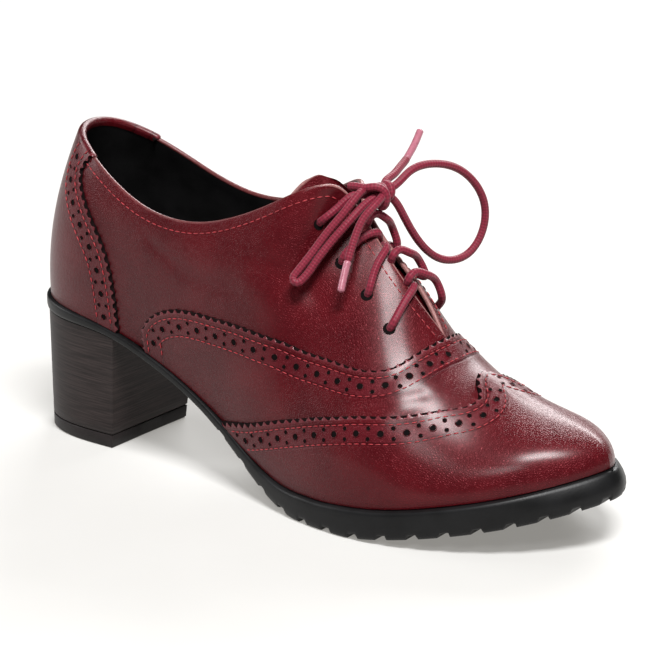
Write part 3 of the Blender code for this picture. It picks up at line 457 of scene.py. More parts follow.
def sole_edges():
    """Both edges of the sole plan from back seam to toe tip: places along, points and outward directions."""
    lateral, medial = (list(zip(SOLE_PLAN["x"], SOLE_PLAN[name])) for name in ("lateral", "medial"))
    loop = [(0.0, 0.0)] + lateral + [(SHOE_LENGTH, TOE_TIP_Y)] + medial[::-1]
    lap = 4    # points that run on past the back seam, so that the curve closes smoothly
    wrapped = np.array(loop[-lap:] + loop + loop[:lap + 1])
    chord = lengths(wrapped)
    toe = lap + 1 + len(lateral)
    ends = {LATERAL: (chord[lap], chord[toe]), MEDIAL: (chord[lap + len(loop)], chord[toe])}
    edges = {}
    for side, (start, stop) in ends.items():
        line = spline_points(chord, wrapped, np.linspace(start, stop, EDGE_SAMPLES))
        along = lengths(line)
        tangent = unit(np.gradient(line, axis=0))
        outward = side * np.stack([-tangent[:, 1], tangent[:, 0]], axis=1)
        edges[side] = (along / along[-1], line, outward)
    for end in (0, -1):
        shared = unit(edges[LATERAL][2][end] + edges[MEDIAL][2][end])
        for side in SIDES:
            edges[side][2][end] = shared
    return edges


SOLE_EDGES = sole_edges()


def sole_edge(side, along, inset=0.0):
    """Point of the sole plan, moved in from the edge, with its outward direction."""
    place, line, outward = SOLE_EDGES[side]
    point, out = (read_line(along, place, values) for values in (line, outward))
    return point - out * np.asarray(inset)[..., None], out


def sole_underside(x):
    return np.maximum(0.0, spline(SOLE_PROFILE["x"], SOLE_PROFILE["underside"], x))


def sole_top(x):
    return sole_underside(x) + spline(SOLE_PROFILE["x"], SOLE_PROFILE["thickness"], x)


def welt(along):
    """How far the sole stands out beyond the upper."""
    return mirrored(WELT, along)["width"]


def top_line(side, along):
    """Top of each section, on the collar, the lace facing or the ridge."""
    top = mirrored(TOP_LINE, along, odd=("half",))
    half = np.where(along >= THROAT, 0.0, np.maximum(0.0, top["half"]))
    drop = np.where(along >= THROAT, 0.0, top["medial_drop"]) if side == MEDIAL else 0.0
    return np.stack([top["x"], top["middle"] + side * half, top["z"] - drop], axis=-1)


def sunk(along, up):
    """How far the upper lies inside the outer form, where other leather covers it."""
    depth = mirrored(SUNK, along)
    return np.maximum(0.0, depth["foot"] + (depth["top"] - depth["foot"]) * up)


def wall(side, along, up):
    """Outer form of the shoe: along it (0 to 1) and up each section (0 sole to 1 top line)."""
    along = np.asarray(along, dtype=float)
    up = np.asarray(up, dtype=float)[..., None]
    shape = mirrored(RIB, along, odd=("out",))
    top = top_line(side, along)
    near = np.minimum(along, 1 - 2 * RIDGE_STEP)    # the ridge has no direction at the very tip
    ridge = unit(top_line(LATERAL, near + RIDGE_STEP) - top_line(LATERAL, near - RIDGE_STEP))
    handle = np.stack([-shape["back"], side * shape["out"], -shape["down"]], axis=-1)
    top_handle = top + handle + ridge * shape["slide"][..., None]
    plan, out = sole_edge(side, along, welt(along))
    foot = np.concatenate([plan, (sole_top(plan[..., 0]) + GAP)[..., None]], axis=-1)
    lean = shape["lean_lateral"] if side == LATERAL else shape["lean_medial"]
    foot_handle = foot + np.concatenate([out * lean[..., None], shape["rise"][..., None]], axis=-1)
    rest = 1 - up
    return (rest ** 3 * foot + 3 * rest ** 2 * up * foot_handle
            + 3 * rest * up ** 2 * top_handle + up ** 3 * top)


def wall_slopes(side, along, up, step):
    """How the wall moves over two small steps along it, and over two steps up it."""
    along = np.clip(along, TIP_CLEAR, 1 - TIP_CLEAR)
    up = np.clip(up, step, 1 - step)
    return (wall(side, along + step, up) - wall(side, along - step, up),
            wall(side, along, up + step) - wall(side, along, up - step))


def wall_normal(side, along, up):
    """Unit direction out of the wall."""
    return unit(-side * np.cross(*wall_slopes(side, along, up, NORMAL_STEP)))


def wall_points(side, along, up, offset):
    """Points at a given distance out of the sunk wall."""
    reach = np.asarray(offset) - sunk(along, up)
    return wall(side, along, up) + wall_normal(side, along, up) * reach[..., None]


# Creases of worn leather: sides, depth (troughs are negative), half width, and places (along, up) on the wall
CREASES = (
    (SIDES, -0.35, 3.0, ((0.46, 0.74), (0.50, 0.66), (0.55, 0.64))),
    (SIDES, 0.25, 4.0, ((0.44, 0.68), (0.49, 0.58), (0.54, 0.57))),
    ((LATERAL,), -0.30, 3.5, ((0.30, 0.80), (0.36, 0.70), (0.43, 0.66))),
    ((LATERAL,), -0.25, 3.0, ((0.60, 0.40), (0.64, 0.52), (0.665, 0.66))),
    ((MEDIAL,), -0.25, 3.0, ((0.60, 0.42), (0.64, 0.55), (0.66, 0.68))),
)


def to_world(points):
    """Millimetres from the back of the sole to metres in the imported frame."""
    return (np.asarray(points, dtype=float) - ORIGIN) * MM


def creases(side, along, up):
    """Height of the creases over the smooth leather."""
    relief = np.zeros(np.shape(along))
    place = np.stack([along, up], axis=-1) * WALL_SCALE
    for sides, depth, width, route in CREASES:
        if side not in sides:
            continue
        line = np.array(route) * WALL_SCALE
        nearest = np.full(np.shape(along), np.inf)
        for start, stop in zip(line[:-1], line[1:]):
            run = stop - start
            share = np.clip((place - start) @ run / (run @ run), 0, 1)
            nearest = np.minimum(nearest, np.linalg.norm(place - start - share[..., None] * run, axis=-1))
        relief += depth * np.exp(-(nearest / width) ** 2)
    return relief


def skin(side, along, up, height):
    """Points of the leather at a height over the sunk wall, joined at back seam, toe and ridge."""
    along, up = np.broadcast_arrays(np.asarray(along, dtype=float), np.asarray(up, dtype=float))
    here, there = (wall_points(each, along, up, height + creases(each, along, up)) for each in (side, -side))
    joined = ((up >= 1) & (along >= THROAT)) | (along <= 0) | (along >= 1)
    points = np.where(joined[..., None], (here + there) / 2, here)
    points[..., 2] = np.maximum(points[..., 2], sole_top(points[..., 0]) - FEATHER_TUCK)
    return points


def even_line(side, route, step):
    """Places (along, up) spaced evenly on the wall, on a smooth line through a route."""
    route = np.array(route, dtype=float)
    chord = lengths(route * WALL_SCALE)
    line = spline_points(chord, route, np.linspace(0, chord[-1], 4 * PATH_SAMPLES))
    line[:, 1] = np.clip(line[:, 1], 0, 1)
    walked = lengths(wall(side, *line.T))
    return read_line(np.linspace(0, walked[-1], int(round(walked[-1] / step)) + 1), walked, line)


def in_share(route, count):
    """Places spaced evenly by length on the straight lines of a route."""
    route = np.array(route, dtype=float)
    walked = lengths(route * WALL_SCALE)
    return read_line(np.linspace(0, walked[-1], count), walked, route)


def directions(side, line):
    """Along and up directions of the wall at places, with the run of the line through them."""
    by_along, by_up = (slope / (2 * PLACE_STEP) for slope in wall_slopes(side, *line.T, PLACE_STEP))
    return by_along, by_up, unit(np.gradient(wall(side, *line.T), axis=0))


def beside(side, line, distance):
    """A line on the wall at a distance to the left of another, seen from outside and walking along it."""
    line = np.array(line)
    for _ in range(2):
        by_along, by_up, run = directions(side, line)
        out = wall_normal(side, *line.T)
        aside = np.cross(out, run) * (np.asarray(distance) / 2)[..., None]
        pairs = ((by_along, by_along), (by_along, by_up), (by_up, by_up))
        aa, au, uu = ((first * second).sum(1) for first, second in pairs)
        pa, pu = (aside * by_along).sum(1), (aside * by_up).sum(1)
        det = aa * uu - au ** 2
        line = line + np.stack([(pa * uu - pu * au) / det, (pu * aa - pa * au) / det], axis=1)
    line[:, 0] = np.clip(line[:, 0], 0, 1)
    return line


def put_in_scene(name, data):
    """New object with the given mesh, lamp or lens."""
    made = bpy.data.objects.new(name, data)
    bpy.context.scene.collection.objects.link(made)
    return made


def give_points(mesh, label, kind, values):
    """Keep a value, or a direction, for each point of a mesh."""
    kept = mesh.attributes.new(label, kind, "POINT").data
    field = "vector" if kind == "FLOAT_VECTOR" else "value"
    kept.foreach_set(field, np.asarray(values, dtype=np.float32).ravel())


def new_piece(name, points, faces, materials, material_index=None, attributes=(), uv=None, closed=False):
    """Mesh from points in millimetres, with smooth shading and doubles merged."""
    mesh = bpy.data.meshes.new(name)
    mesh.from_pydata(to_world(points).tolist(), [], [tuple(int(i) for i in face) for face in faces])
    for label, values in attributes:
        give_points(mesh, label, "FLOAT", values)
    if uv is not None:
        layer = mesh.uv_layers.new(name="UVMap")
        layer.data.foreach_set("uv", np.asarray(uv, dtype=np.float32).ravel())
    if material_index is not None:
        mesh.polygons.foreach_set("material_index", np.asarray(material_index, dtype=np.int32))
    shape = bmesh.new()
    shape.from_mesh(mesh)
    bmesh.ops.remove_doubles(shape, verts=shape.verts, dist=MERGE)
    bmesh.ops.dissolve_degenerate(shape, edges=shape.edges, dist=MERGE / 10)
    if closed:
        bmesh.ops.recalc_face_normals(shape, faces=shape.faces)
    shape.to_mesh(mesh)
    shape.free()
    for material in materials:
        mesh.materials.append(material)
    mesh.shade_smooth()
    mesh.set_sharp_from_angle(angle=SHARP_ANGLE)
    return put_in_scene(name, mesh)


def finish_piece(piece, slot, *nodes):
    """Hand a finished piece to the frame."""
    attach(piece, "root")
    if nodes:
        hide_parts(*nodes)
    return piece


def grid_faces(rows, count, first=0, flip=False, loop=False):
    """Quads of a grid of points kept row by row."""
    faces = []
    for i in range(rows - 1):
        for j in range(count if loop else count - 1):
            after = (j + 1) % count
            quad = (first + i * count + j, first + i * count + after,
                    first + (i + 1) * count + after, first + (i + 1) * count + j)
            faces.append(quad[::-1] if flip else quad)
    return faces


def body_faces(rows, count):
    """Quads round a body of closed rings, and its two flat ends."""
    last = (rows - 1) * count
    ends = [tuple(range(count)), tuple(range(last + count - 1, last - 1, -1))]
    return grid_faces(rows, count, loop=True) + ends


def faces_out(grid):
    """Whether the quads of a grid on the wall face outwards as grid_faces makes them."""
    i, j = grid.shape[0] // 2, grid.shape[1] // 2
    turn = np.cross(grid[i, j + 1] - grid[i, j], grid[i + 1, j] - grid[i, j])
    inside = np.array([grid[i, j, 0], 0.0, grid[i, j, 2] - PROBE_DEPTH])
    return turn @ (grid[i, j] - inside) > 0


def tooth(count):
    """How far the pinking stands out at each sample of an edge, counted from its top end."""
    phase = np.arange(count)[::-1] % TOOTH_STEPS / TOOTH_STEPS
    return TOOTH_DEPTH * (0.5 - np.abs(2 * phase - 1))


def leather_panel(materials, name, node, route, inner_route, rows, crowding, height, inward,
                  level_rows=False, roll=0.0):
    """Sheet on both sides of the shoe from a pinked edge to a line that is hidden or shared."""
    points, faces, from_edge, finish = [], [], [], []
    steps = np.linspace(0, 1, rows) ** crowding
    for side in SIDES:
        edge = even_line(side, route, TOOTH_PITCH / TOOTH_STEPS)
        inner = in_share(inner_route, len(edge))
        if level_rows:
            inner[:, 1] = edge[:, 1]
        out = tooth(len(edge))
        pinked = beside(side, edge, -side * inward * out)
        tips = beside(side, edge, -side * inward * TOOTH_DEPTH * 0.5)
        for line in (pinked, tips):
            line[:, 1] = np.clip(line[:, 1], 0, 1)
            line[-1] = edge[-1]
        sheet = [skin(side, *tips.T, height - LEATHER), skin(side, *pinked.T, height - ROLL)]
        sheet += [skin(side, *(edge * (1 - share) + inner * share).T, height) for share in steps[1:]]
        tree = KDTree(len(edge))
        for index, point in enumerate(skin(side, *edge.T, height)):
            tree.insert(point, index)
        tree.balance()
        reach = [np.full(len(edge), CUT_REACH), -out]
        reach += [np.array([tree.find(point)[2] for point in row]) for row in sheet[2:]]
        sheet, reach = np.array(sheet), np.array(reach)
        if roll:
            top = edge[-1, 0] + (inner - edge)[-1, 0] * steps[1:]
            top = np.concatenate([[tips[-1, 0], pinked[-1, 0]], top])
            sheet, reach = roll_top(side, sheet, reach, top, roll)
        flip = not faces_out(sheet[2:])
        faces += grid_faces(*sheet.shape[:2], first=sum(len(p) for p in points), flip=flip)
        across = sheet.shape[1] - 1
        # The first row of quads runs from the tooth tips under the leather up to the pinked edge and takes the
        # black cut edge finish. This is real dark edge paint, and painted shade where it fills the notches.
        finish += [1] * across + [0] * across * (len(sheet) - 2)
        points.append(sheet.reshape(-1, 3))
        from_edge.append(reach.ravel())
    piece = new_piece(name, np.concatenate(points), faces, materials, finish,
                      [("from_edge", np.concatenate(from_edge))])
    return finish_piece(piece, "burgundy_leather", node)


def roll_top(side, sheet, reach, along, width):
    """Fold the top end of a sheet over the collar and a little way down inside."""
    top, below = sheet[:, -1], sheet[:, -2]
    climb = unit(top - below)
    inside = -wall_normal(side, along, np.ones_like(along))
    inside[along <= 0, 1] = 0.0
    inside = unit(inside - climb * (inside * climb).sum(1)[:, None])
    folded = [top + inside * width * (1 - math.cos(turn)) / 2 + climb * width / 2 * math.sin(turn)
              for turn in np.linspace(0, math.pi, ROLL_STEPS)[1:]]
    folded.append(top + inside * width - climb * ROLL_DROP)
    sheet = np.concatenate([sheet, np.stack(folded, axis=1)], axis=1)
    reach = np.concatenate([reach, np.repeat(reach[:, -1:], len(folded), axis=1)], axis=1)
    return sheet, reach


def build_upper(leather, lining):
    """Quarters with a rounded top edge, and the black lining inside them."""
    places = np.unique(np.concatenate([np.linspace(0, THROAT, UPPER_COLUMNS),
                                       np.linspace(THROAT, 1, UPPER_FRONT)]))
    rises, drops = np.linspace(0, 1, UPPER_ROWS), np.linspace(1, 0, LINING_ROWS)
    turn = np.linspace(0, math.pi, RIM_STEPS + 2)[1:-1]
    open_top = (places < THROAT)[:, None]
    count, rim_end = len(places), len(rises) + RIM_STEPS
    points, faces, finish, raw_and_rim_highlight = [], [], [], []
    for side in SIDES:
        outer = [skin(side, places, up, 0.0) for up in rises]
        inner = [skin(side, places, up, -WALL) for up in drops]
        climb = unit(outer[-1] - outer[-2])
        across, middle = (outer[-1] - inner[0]) / 2, (outer[-1] + inner[0]) / 2
        rim = [middle + across * math.cos(a) + open_top * climb * (WALL / 2) * math.sin(a) for a in turn]
        ring = np.array(outer + rim + inner)
        first = sum(len(p) for p in points)
        flip = not faces_out(ring[:len(rises)])
        for below in range(len(ring)):
            above = (below + 1) % len(ring)
            is_rim = len(rises) - 1 <= below < rim_end
            for j in range(count - 1):
                if is_rim and places[j] >= THROAT:
                    continue
                quad = (below * count + j, below * count + j + 1, above * count + j + 1, above * count + j)
                faces.append(tuple(first + k for k in (quad[::-1] if flip else quad)))
                finish.append(0 if below < rim_end else 1)
        bare_and_highlight = np.zeros(ring.shape[:2])
        # The rim takes a share of the pale raw colour: a faint painted highlight on the collar, the raw edge on
        # the facing.
        bare_and_highlight[len(rises):rim_end] = np.interp(places, FACING_START, RIM_BARE_AND_HIGHLIGHT)
        points.append(ring.reshape(-1, 3))
        raw_and_rim_highlight.append(bare_and_highlight.ravel())
    return new_piece("upper_leather", np.concatenate(points), faces, [leather, lining], finish,
                     [("raw_edge_and_rim_highlight", np.concatenate(raw_and_rim_highlight))])


def sole_section(along, levels, lift):
    """Ring round the outsole: side levels, then the underside with its notches."""
    edges = {side: sole_edge(side, along)[0] for side in SIDES}
    width = max(np.linalg.norm(edges[LATERAL] - edges[MEDIAL]), LEAST_WIDTH)
    share = float(np.interp(along, TOE_ROUNDING, (0, 1)))
    toe = share * share * (3 - 2 * share)
    ring = {}
    for side in SIDES:
        across = (edges[-side] - edges[side]) / width
        points = []
        for height, inset, raised, toe_inset in levels:
            (x, y), _ = sole_edge(side, along, min(inset, ROUND_INSET) + toe_inset * toe)
            x, y = np.array([x, y]) + across * min(max(inset - ROUND_INSET, 0.0), width * MOST_ACROSS)
            low, high = float(sole_underside(x)), float(sole_top(x))
            points.append((x, y, low + (high - low) * height + lift * raised))
        ring[side] = points
    return ring[LATERAL] + ring[MEDIAL][::-1]


def build_outsole(rubber):
    """Outsole with a rounded top edge and notches between the edge lugs."""
    length = lengths(SOLE_EDGES[LATERAL][1])[-1]
    lug_steps = int(length * (1 - LUG_START) / NOTCH_STEP)
    stations = np.unique(np.concatenate([
        np.linspace(0, SEAT_END, SEAT_STEPS), np.linspace(SEAT_END, LUG_START, WAIST_STEPS),
        np.linspace(LUG_START, 1 - TOE_END, lug_steps),
        1 - np.linspace(TOE_END, 0, TOE_STEPS) ** 1.5 / TOE_END ** 0.5]))
    rings = []
    for along in stations:
        depth = 0.0
        if along > LUG_START:
            from_notch = abs((1 - along) * length % LUG_PITCH - LUG_PITCH / 2)
            depth = float(np.clip((NOTCH_WIDTH / 2 - from_notch) / NOTCH_STEP + 0.5, 0, 1))
        rings.append(sole_section(along, SOLE_LEVELS, NOTCH_DEPTH * depth))
    rings = np.array(rings)
    faces = grid_faces(*rings.shape[:2], loop=True)
    return new_piece("outsole_rubber", rings.reshape(-1, 3), faces, [rubber], closed=True)


def heel_plan(steps):
    """Plan of the heel at its seat, from the lateral to the medial end of the breast."""
    plan = []
    half = EDGE_SAMPLES // 2
    for side in SIDES:
        place, line, _ = SOLE_EDGES[side]
        breast = float(np.interp(HEEL_BREAST_TOP, line[:half, 0], place[:half]))
        run = breast * np.linspace(1, 0, steps)
        edge, _ = sole_edge(side, run, np.full_like(run, HEEL_INSET))
        edge[0, 0] = HEEL_BREAST_TOP
        plan.append(edge if side == LATERAL else edge[-2::-1])
    return np.concatenate(plan)


def heel_ring(height, inset=0.0):
    """Plan of the heel at a height, drawn in towards its foot, with a flat breast."""
    seat = heel_plan(HEEL_STEPS)
    down = 1 - height / HEEL_HEIGHT
    narrow = 1 - down * (1 - HEEL_FOOT_SCALE)
    shorten = 1 - down * (1 - HEEL_BREAST_FOOT / HEEL_BREAST_TOP)
    ring = np.stack([seat[:, 0] * shorten, seat[:, 1] * narrow], axis=1)
    breast = np.linspace(ring[-1], ring[0], BREAST_STEPS)[1:-1]
    ring = np.concatenate([ring, breast])
    middle = np.array([ring[:, 0].mean(), 0.0])
    ring = ring - unit(ring - middle) * inset
    return np.column_stack([ring, np.full(len(ring), height)])


def block(name, rings, material):
    """Closed body through rings, with flat ends."""
    rings = np.array(rings)
    return new_piece(name, rings.reshape(-1, 3), body_faces(*rings.shape[:2]), [material], closed=True)


def build_heel(material):
    """Stacked heel whose seat follows the sole."""
    low = TOP_PIECE_HEIGHT + GAP
    rings = [heel_ring(low, HEEL_EDGE)]
    rings += [heel_ring(height) for height in np.linspace(low + HEEL_EDGE, HEEL_HEIGHT, HEEL_LIFTS)]
    seat = sole_underside(rings[-1][:, 0]) - GAP / 2
    for ring in rings[1:]:
        share = (ring[0, 2] - low) / (HEEL_HEIGHT - low)
        ring[:, 2] = low + (seat - low) * share
    return block("heel_stack", rings, material)


def build_top_piece(material):
    rings = [heel_ring(0.0, LIFT_EDGE), heel_ring(LIFT_EDGE), heel_ring(TOP_PIECE_HEIGHT - LIFT_TOP_EDGE),
             heel_ring(TOP_PIECE_HEIGHT, LIFT_TOP_INSET)]
    return block("heel_top_lift", rings, material)


def build_insole(material):
    """Sock over the insole, a little hollowed, with a rounded edge."""
    stations = (1 - np.cos(np.linspace(0, math.pi, INSOLE_STATIONS))) / 2
    shares = np.linspace(-1, 1, INSOLE_ACROSS)
    dish = (INSOLE_THICKNESS - INSOLE_DISH * (1 - shares ** 2)
            - INSOLE_EDGE * np.abs(shares) ** INSOLE_ROUNDING)
    rings = []
    for along in stations:
        inset = float(welt(along) + sunk(along, 0.0)) + WALL + INSOLE_CLEARANCE
        lateral, medial = (sole_edge(side, along, inset)[0] for side in SIDES)
        plan = lateral + (medial - lateral) * (shares[:, None] + 1) / 2
        floor = sole_top(plan[:, 0])
        rings.append(np.concatenate([np.column_stack([plan, floor + GAP]),
                                     np.column_stack([plan, floor + GAP + dish])[::-1]]))
    rings = np.array(rings)
    faces = grid_faces(*rings.shape[:2], loop=True)
    return new_piece("sock_lining", rings.reshape(-1, 3), faces, [material], closed=True)


def build_tongue(leather):
    """Strip under the facings, with a soft lobe that stands out above the lateral collar."""
    across = np.linspace(-1, 1, TONGUE_ACROSS)
    lobe_at = np.array([place for place, _ in TONGUE_LOBE])
    lobe = spline_points(lobe_at, np.array([point for _, point in TONGUE_LOBE]), across)
    up = 1 - np.abs(across) * TONGUE_SPREAD
    toward = ((across + TONGUE_BLEND) / (2 * TONGUE_BLEND)).clip(0, 1)[:, None]
    sheets = []
    for depth in (WALL + TONGUE_GAP, WALL + TONGUE_GAP + TONGUE_THICKNESS):
        strip = []
        for along in np.linspace(TONGUE_HEAD, TONGUE_FOOT, TONGUE_ROWS):
            place = np.full_like(across, along)
            lateral, medial = (wall_points(side, place, up, -depth) for side in SIDES)
            strip.append(lateral * (1 - toward) + medial * toward)
        climb = strip[0] - strip[2]
        climb *= TONGUE_RISE / np.linalg.norm(climb, axis=1)[:, None]
        top = lobe + TONGUE_BACK * (depth - WALL - TONGUE_GAP)
        head = []
        for share in np.linspace(1, 0, TONGUE_HEAD_ROWS)[:-1]:
            low, high = 2 * share ** 3 - 3 * share ** 2 + 1, 3 * share ** 2 - 2 * share ** 3
            bow = share * (1 - share) ** 2
            wave = WAVE_HEIGHT * share ** 3 * np.sin(across * WAVES_ACROSS + depth * WAVE_LAG)
            head.append(strip[0] * low + top * high + climb * bow + wave[:, None] * WAVE_WAY)
        sheets.append(np.array(head + strip))
    ring = np.concatenate([sheets[0], sheets[1][:, ::-1]], axis=1)
    rows, count = ring.shape[:2]
    raw_and_rim_highlight = np.zeros((rows, count))
    raw_and_rim_highlight[:1] = 1.0
    raw_and_rim_highlight[:, (0, TONGUE_ACROSS - 1, TONGUE_ACROSS, count - 1)] = 1.0
    return new_piece("tongue_leather", ring.reshape(-1, 3), body_faces(rows, count), [leather],
                     attributes=[("raw_edge_and_rim_highlight", raw_and_rim_highlight.ravel())], closed=True)


def tube(path, radius, sides=CORD_SIDES):
    """Points, quads and UV (turns, millimetres) of a round cord along a path, with domed ends."""
    path = np.array(path)
    run = unit(np.gradient(path, axis=0))
    side = np.cross(run[0], [0.0, 0.0, 1.0])
    if np.linalg.norm(side) < 0.1:    # the cord starts upright
        side = np.cross(run[0], [0.0, 1.0, 0.0])
    radius = np.broadcast_to(radius, len(path))
    walked = lengths(path)
    turn = np.linspace(0, 2 * math.pi, sides, endpoint=False)
    rings, marks = [], []
    for index, (point, heading) in enumerate(zip(path, run)):
        side = unit(side - heading * (side @ heading))
        ring = np.cos(turn)[:, None] * side + np.sin(turn)[:, None] * np.cross(heading, side)
        steps = [(0.0, 1.0)]
        if index == 0:
            steps = [(-out, wide) for out, wide in DOME[::-1]] + steps
        if index == len(path) - 1:
            steps += DOME
        for out, wide in steps:
            rings.append(point + heading * radius[index] * out + ring * radius[index] * wide)
            marks.append(walked[index] + radius[index] * out)
    uv = []
    for low, high in zip(marks[:-1], marks[1:]):
        for j in range(sides):
            left, right = j / sides, (j + 1) / sides
            uv += [(left, low), (right, low), (right, high), (left, high)]
    uv += [(0.0, marks[0])] * sides + [(0.0, marks[-1])] * sides
    return np.concatenate(rings), body_faces(len(rings), sides), uv


def cord_piece(name, paths, radius, material):
    """One mesh of one or more cords."""
    points, faces, uv = [], [], []
    for path in paths:
        more, quads, marks = tube(path, radius)
        first = sum(len(p) for p in points)
        faces += [tuple(first + index for index in quad) for quad in quads]
        points.append(more)
        uv += marks
    return new_piece(name, np.concatenate(points), faces, [material], uv=uv, closed=True)


def over_facing(along, across, lift):
    """Place over the lacing: across is -1 and 1 at the two facing edges, and beyond them down the wall."""
    if abs(across) > 1:
        side = LATERAL if across < 0 else MEDIAL
        return wall_points(side, np.array([along]), np.array([2 - abs(across)]), np.array([lift]))[0]
    lateral, medial = (top_line(side, np.array([along]))[0] for side in SIDES)
    return lateral * (1 - across) / 2 + medial * (1 + across) / 2 + FACING_OUT * lift


def out_of_hole(row, side, lift):
    """First places of a strand: under the facing, and where it comes out of its lace hole."""
    along, up = row
    hole = side * (2 - up)
    return [(along, hole, HOLE_DIP), (along, hole - side * HOLE_MOUTH, lift)]


def strand_routes(row, crossings):
    """The two strands of a lace row: the lateral one dives into the gap under the medial one."""
    lateral, medial = crossings
    under, over = (out_of_hole(row, side, OUT_LIFTS[side]) for side in SIDES)
    under += [(row[0] + (lateral - row[0]) * share, across, lift) for share, across, lift in LATERAL_STRAND]
    over += [(medial + ahead, across, lift) for ahead, across, lift in MEDIAL_STRAND]
    return [[over_facing(*place) for place in route] for route in (under, over)]


def knot_routes(row):
    """The strands of the top row, which run from their holes into the knot."""
    routes = []
    for side, facing, last_step in TOP_ROW_STRANDS:
        places = out_of_hole(row, side, TOP_ROW_LIFT)
        places += [(row[0] + ahead, across, lift) for ahead, across, lift in facing]
        routes.append([over_facing(*place) for place in places] + [np.array(KNOT) + last_step, np.array(KNOT)])
    return routes


def build_laces(cord, film):
    """Crossings, knot, loops and tipped ends of the lace."""
    for number, (row, crossings) in enumerate(zip(LACE_ROWS, STRAND_CROSSINGS), start=1):
        routes = strand_routes(row, crossings) if crossings else knot_routes(row)
        paths = [smooth_line(route, STRAND_SAMPLES) for route in routes]
        piece = cord_piece(f"lace_row_{number}", paths, LACE_DIAMETER / 2, cord)
        finish_piece(piece, "lace_cord", f"lace_crossing_{number}")
    turn = np.linspace(0, 2 * math.pi * KNOT_TURNS, COIL_SAMPLES)
    coil = np.column_stack([KNOT_HALF_LENGTH * np.cos(turn), np.linspace(*KNOT_REACH, COIL_SAMPLES),
                            KNOT_HALF_HEIGHT * np.sin(turn)])
    wraps = [np.array(KNOT) + coil, smooth_line(KNOT_WRAP, WRAP_SAMPLES)]
    finish_piece(cord_piece("knot", wraps, LACE_DIAMETER / 2, cord), "lace_cord", "lace_knot")
    for name, route in (("lateral", LOOP_LATERAL_ROUTE), ("medial", LOOP_MEDIAL_ROUTE)):
        path = smooth_line([KNOT_HEART, *route, KNOT_HEART], LOOP_SAMPLES)
        piece = cord_piece(f"bow_loop_{name}", [path], LACE_DIAMETER / 2, cord)
        finish_piece(piece, "lace_cord", f"lace_loop_{name}")
    for name, route, tip in (("lateral", END_LATERAL_ROUTE, AGLET_LATERAL_ROUTE),
                             ("medial", END_MEDIAL_ROUTE, AGLET_MEDIAL_ROUTE)):
        tip_path = smooth_line(tip, TIP_SAMPLES)
        path = smooth_line([KNOT_HEART, *route, *tip[1:]], END_SAMPLES)[:-TIP_SPARE]
        inside = np.linalg.norm(path[:, None] - tip_path[None], axis=2).min(axis=1) < TIP_GRIP
        radius = np.where(inside, AGLET_DIAMETER / 2 - TIP_WALL, LACE_DIAMETER / 2)
        aglet = cord_piece(f"lace_tip_{name}", [tip_path], AGLET_DIAMETER / 2, film)
        finish_piece(aglet, "aglet_plastic", f"aglet_{name}")
        piece = cord_piece(f"bow_end_{name}", [path], radius, cord)
        finish_piece(piece, "lace_cord", f"lace_end_{name}")


class Value:
    """A number that changes over a surface. Sums and products on it add Math nodes."""

    def __init__(self, nodes, socket):
        self.nodes = nodes
        self.socket = socket

    def maths(self, operation, *terms):
        return self.nodes.value("ShaderNodeMath", {"operation": operation}, dict(enumerate(terms)))

    def __add__(self, other):
        return self.maths("ADD", self, other)

    def __sub__(self, other):
        return self.maths("SUBTRACT", self, other)

    def __rsub__(self, other):
        return self.maths("SUBTRACT", other, self)

    def __mul__(self, other):
        return self.maths("MULTIPLY", self, other)

    __radd__ = __add__
    __rmul__ = __mul__

    def sine(self):
        return self.maths("SINE", self)

    def size(self):
        return self.maths("ABSOLUTE", self)

    def between(self, low, high):
        """0 below low, 1 above high, with a soft step between them (low may be the larger)."""
        return self.nodes.value("ShaderNodeMapRange", {"interpolation_type": "SMOOTHSTEP"},
                                {"Value": self, "From Min": low, "From Max": high})


class Nodes:
    """A node tree, and the one way to add a node to it."""

    def __init__(self, tree):
        self.tree = tree

    def node(self, kind, settings=None, sockets=None):
        """Any node: settings first, then a value or a link for each named or numbered socket."""
        made = self.tree.nodes.new(kind)
        for label, value in (settings or {}).items():
            setattr(made, label, value)
        for label, value in (sockets or {}).items():
            self.feed(made.inputs[label], value)
        return made

    def feed(self, socket, value):
        if isinstance(value, Value):
            value = value.socket
        if isinstance(value, bpy.types.NodeSocket):
            self.tree.links.new(value, socket)
        else:
            socket.default_value = value

    def value(self, kind, settings=None, sockets=None, output=0):
        return Value(self, self.node(kind, settings, sockets).outputs[output])


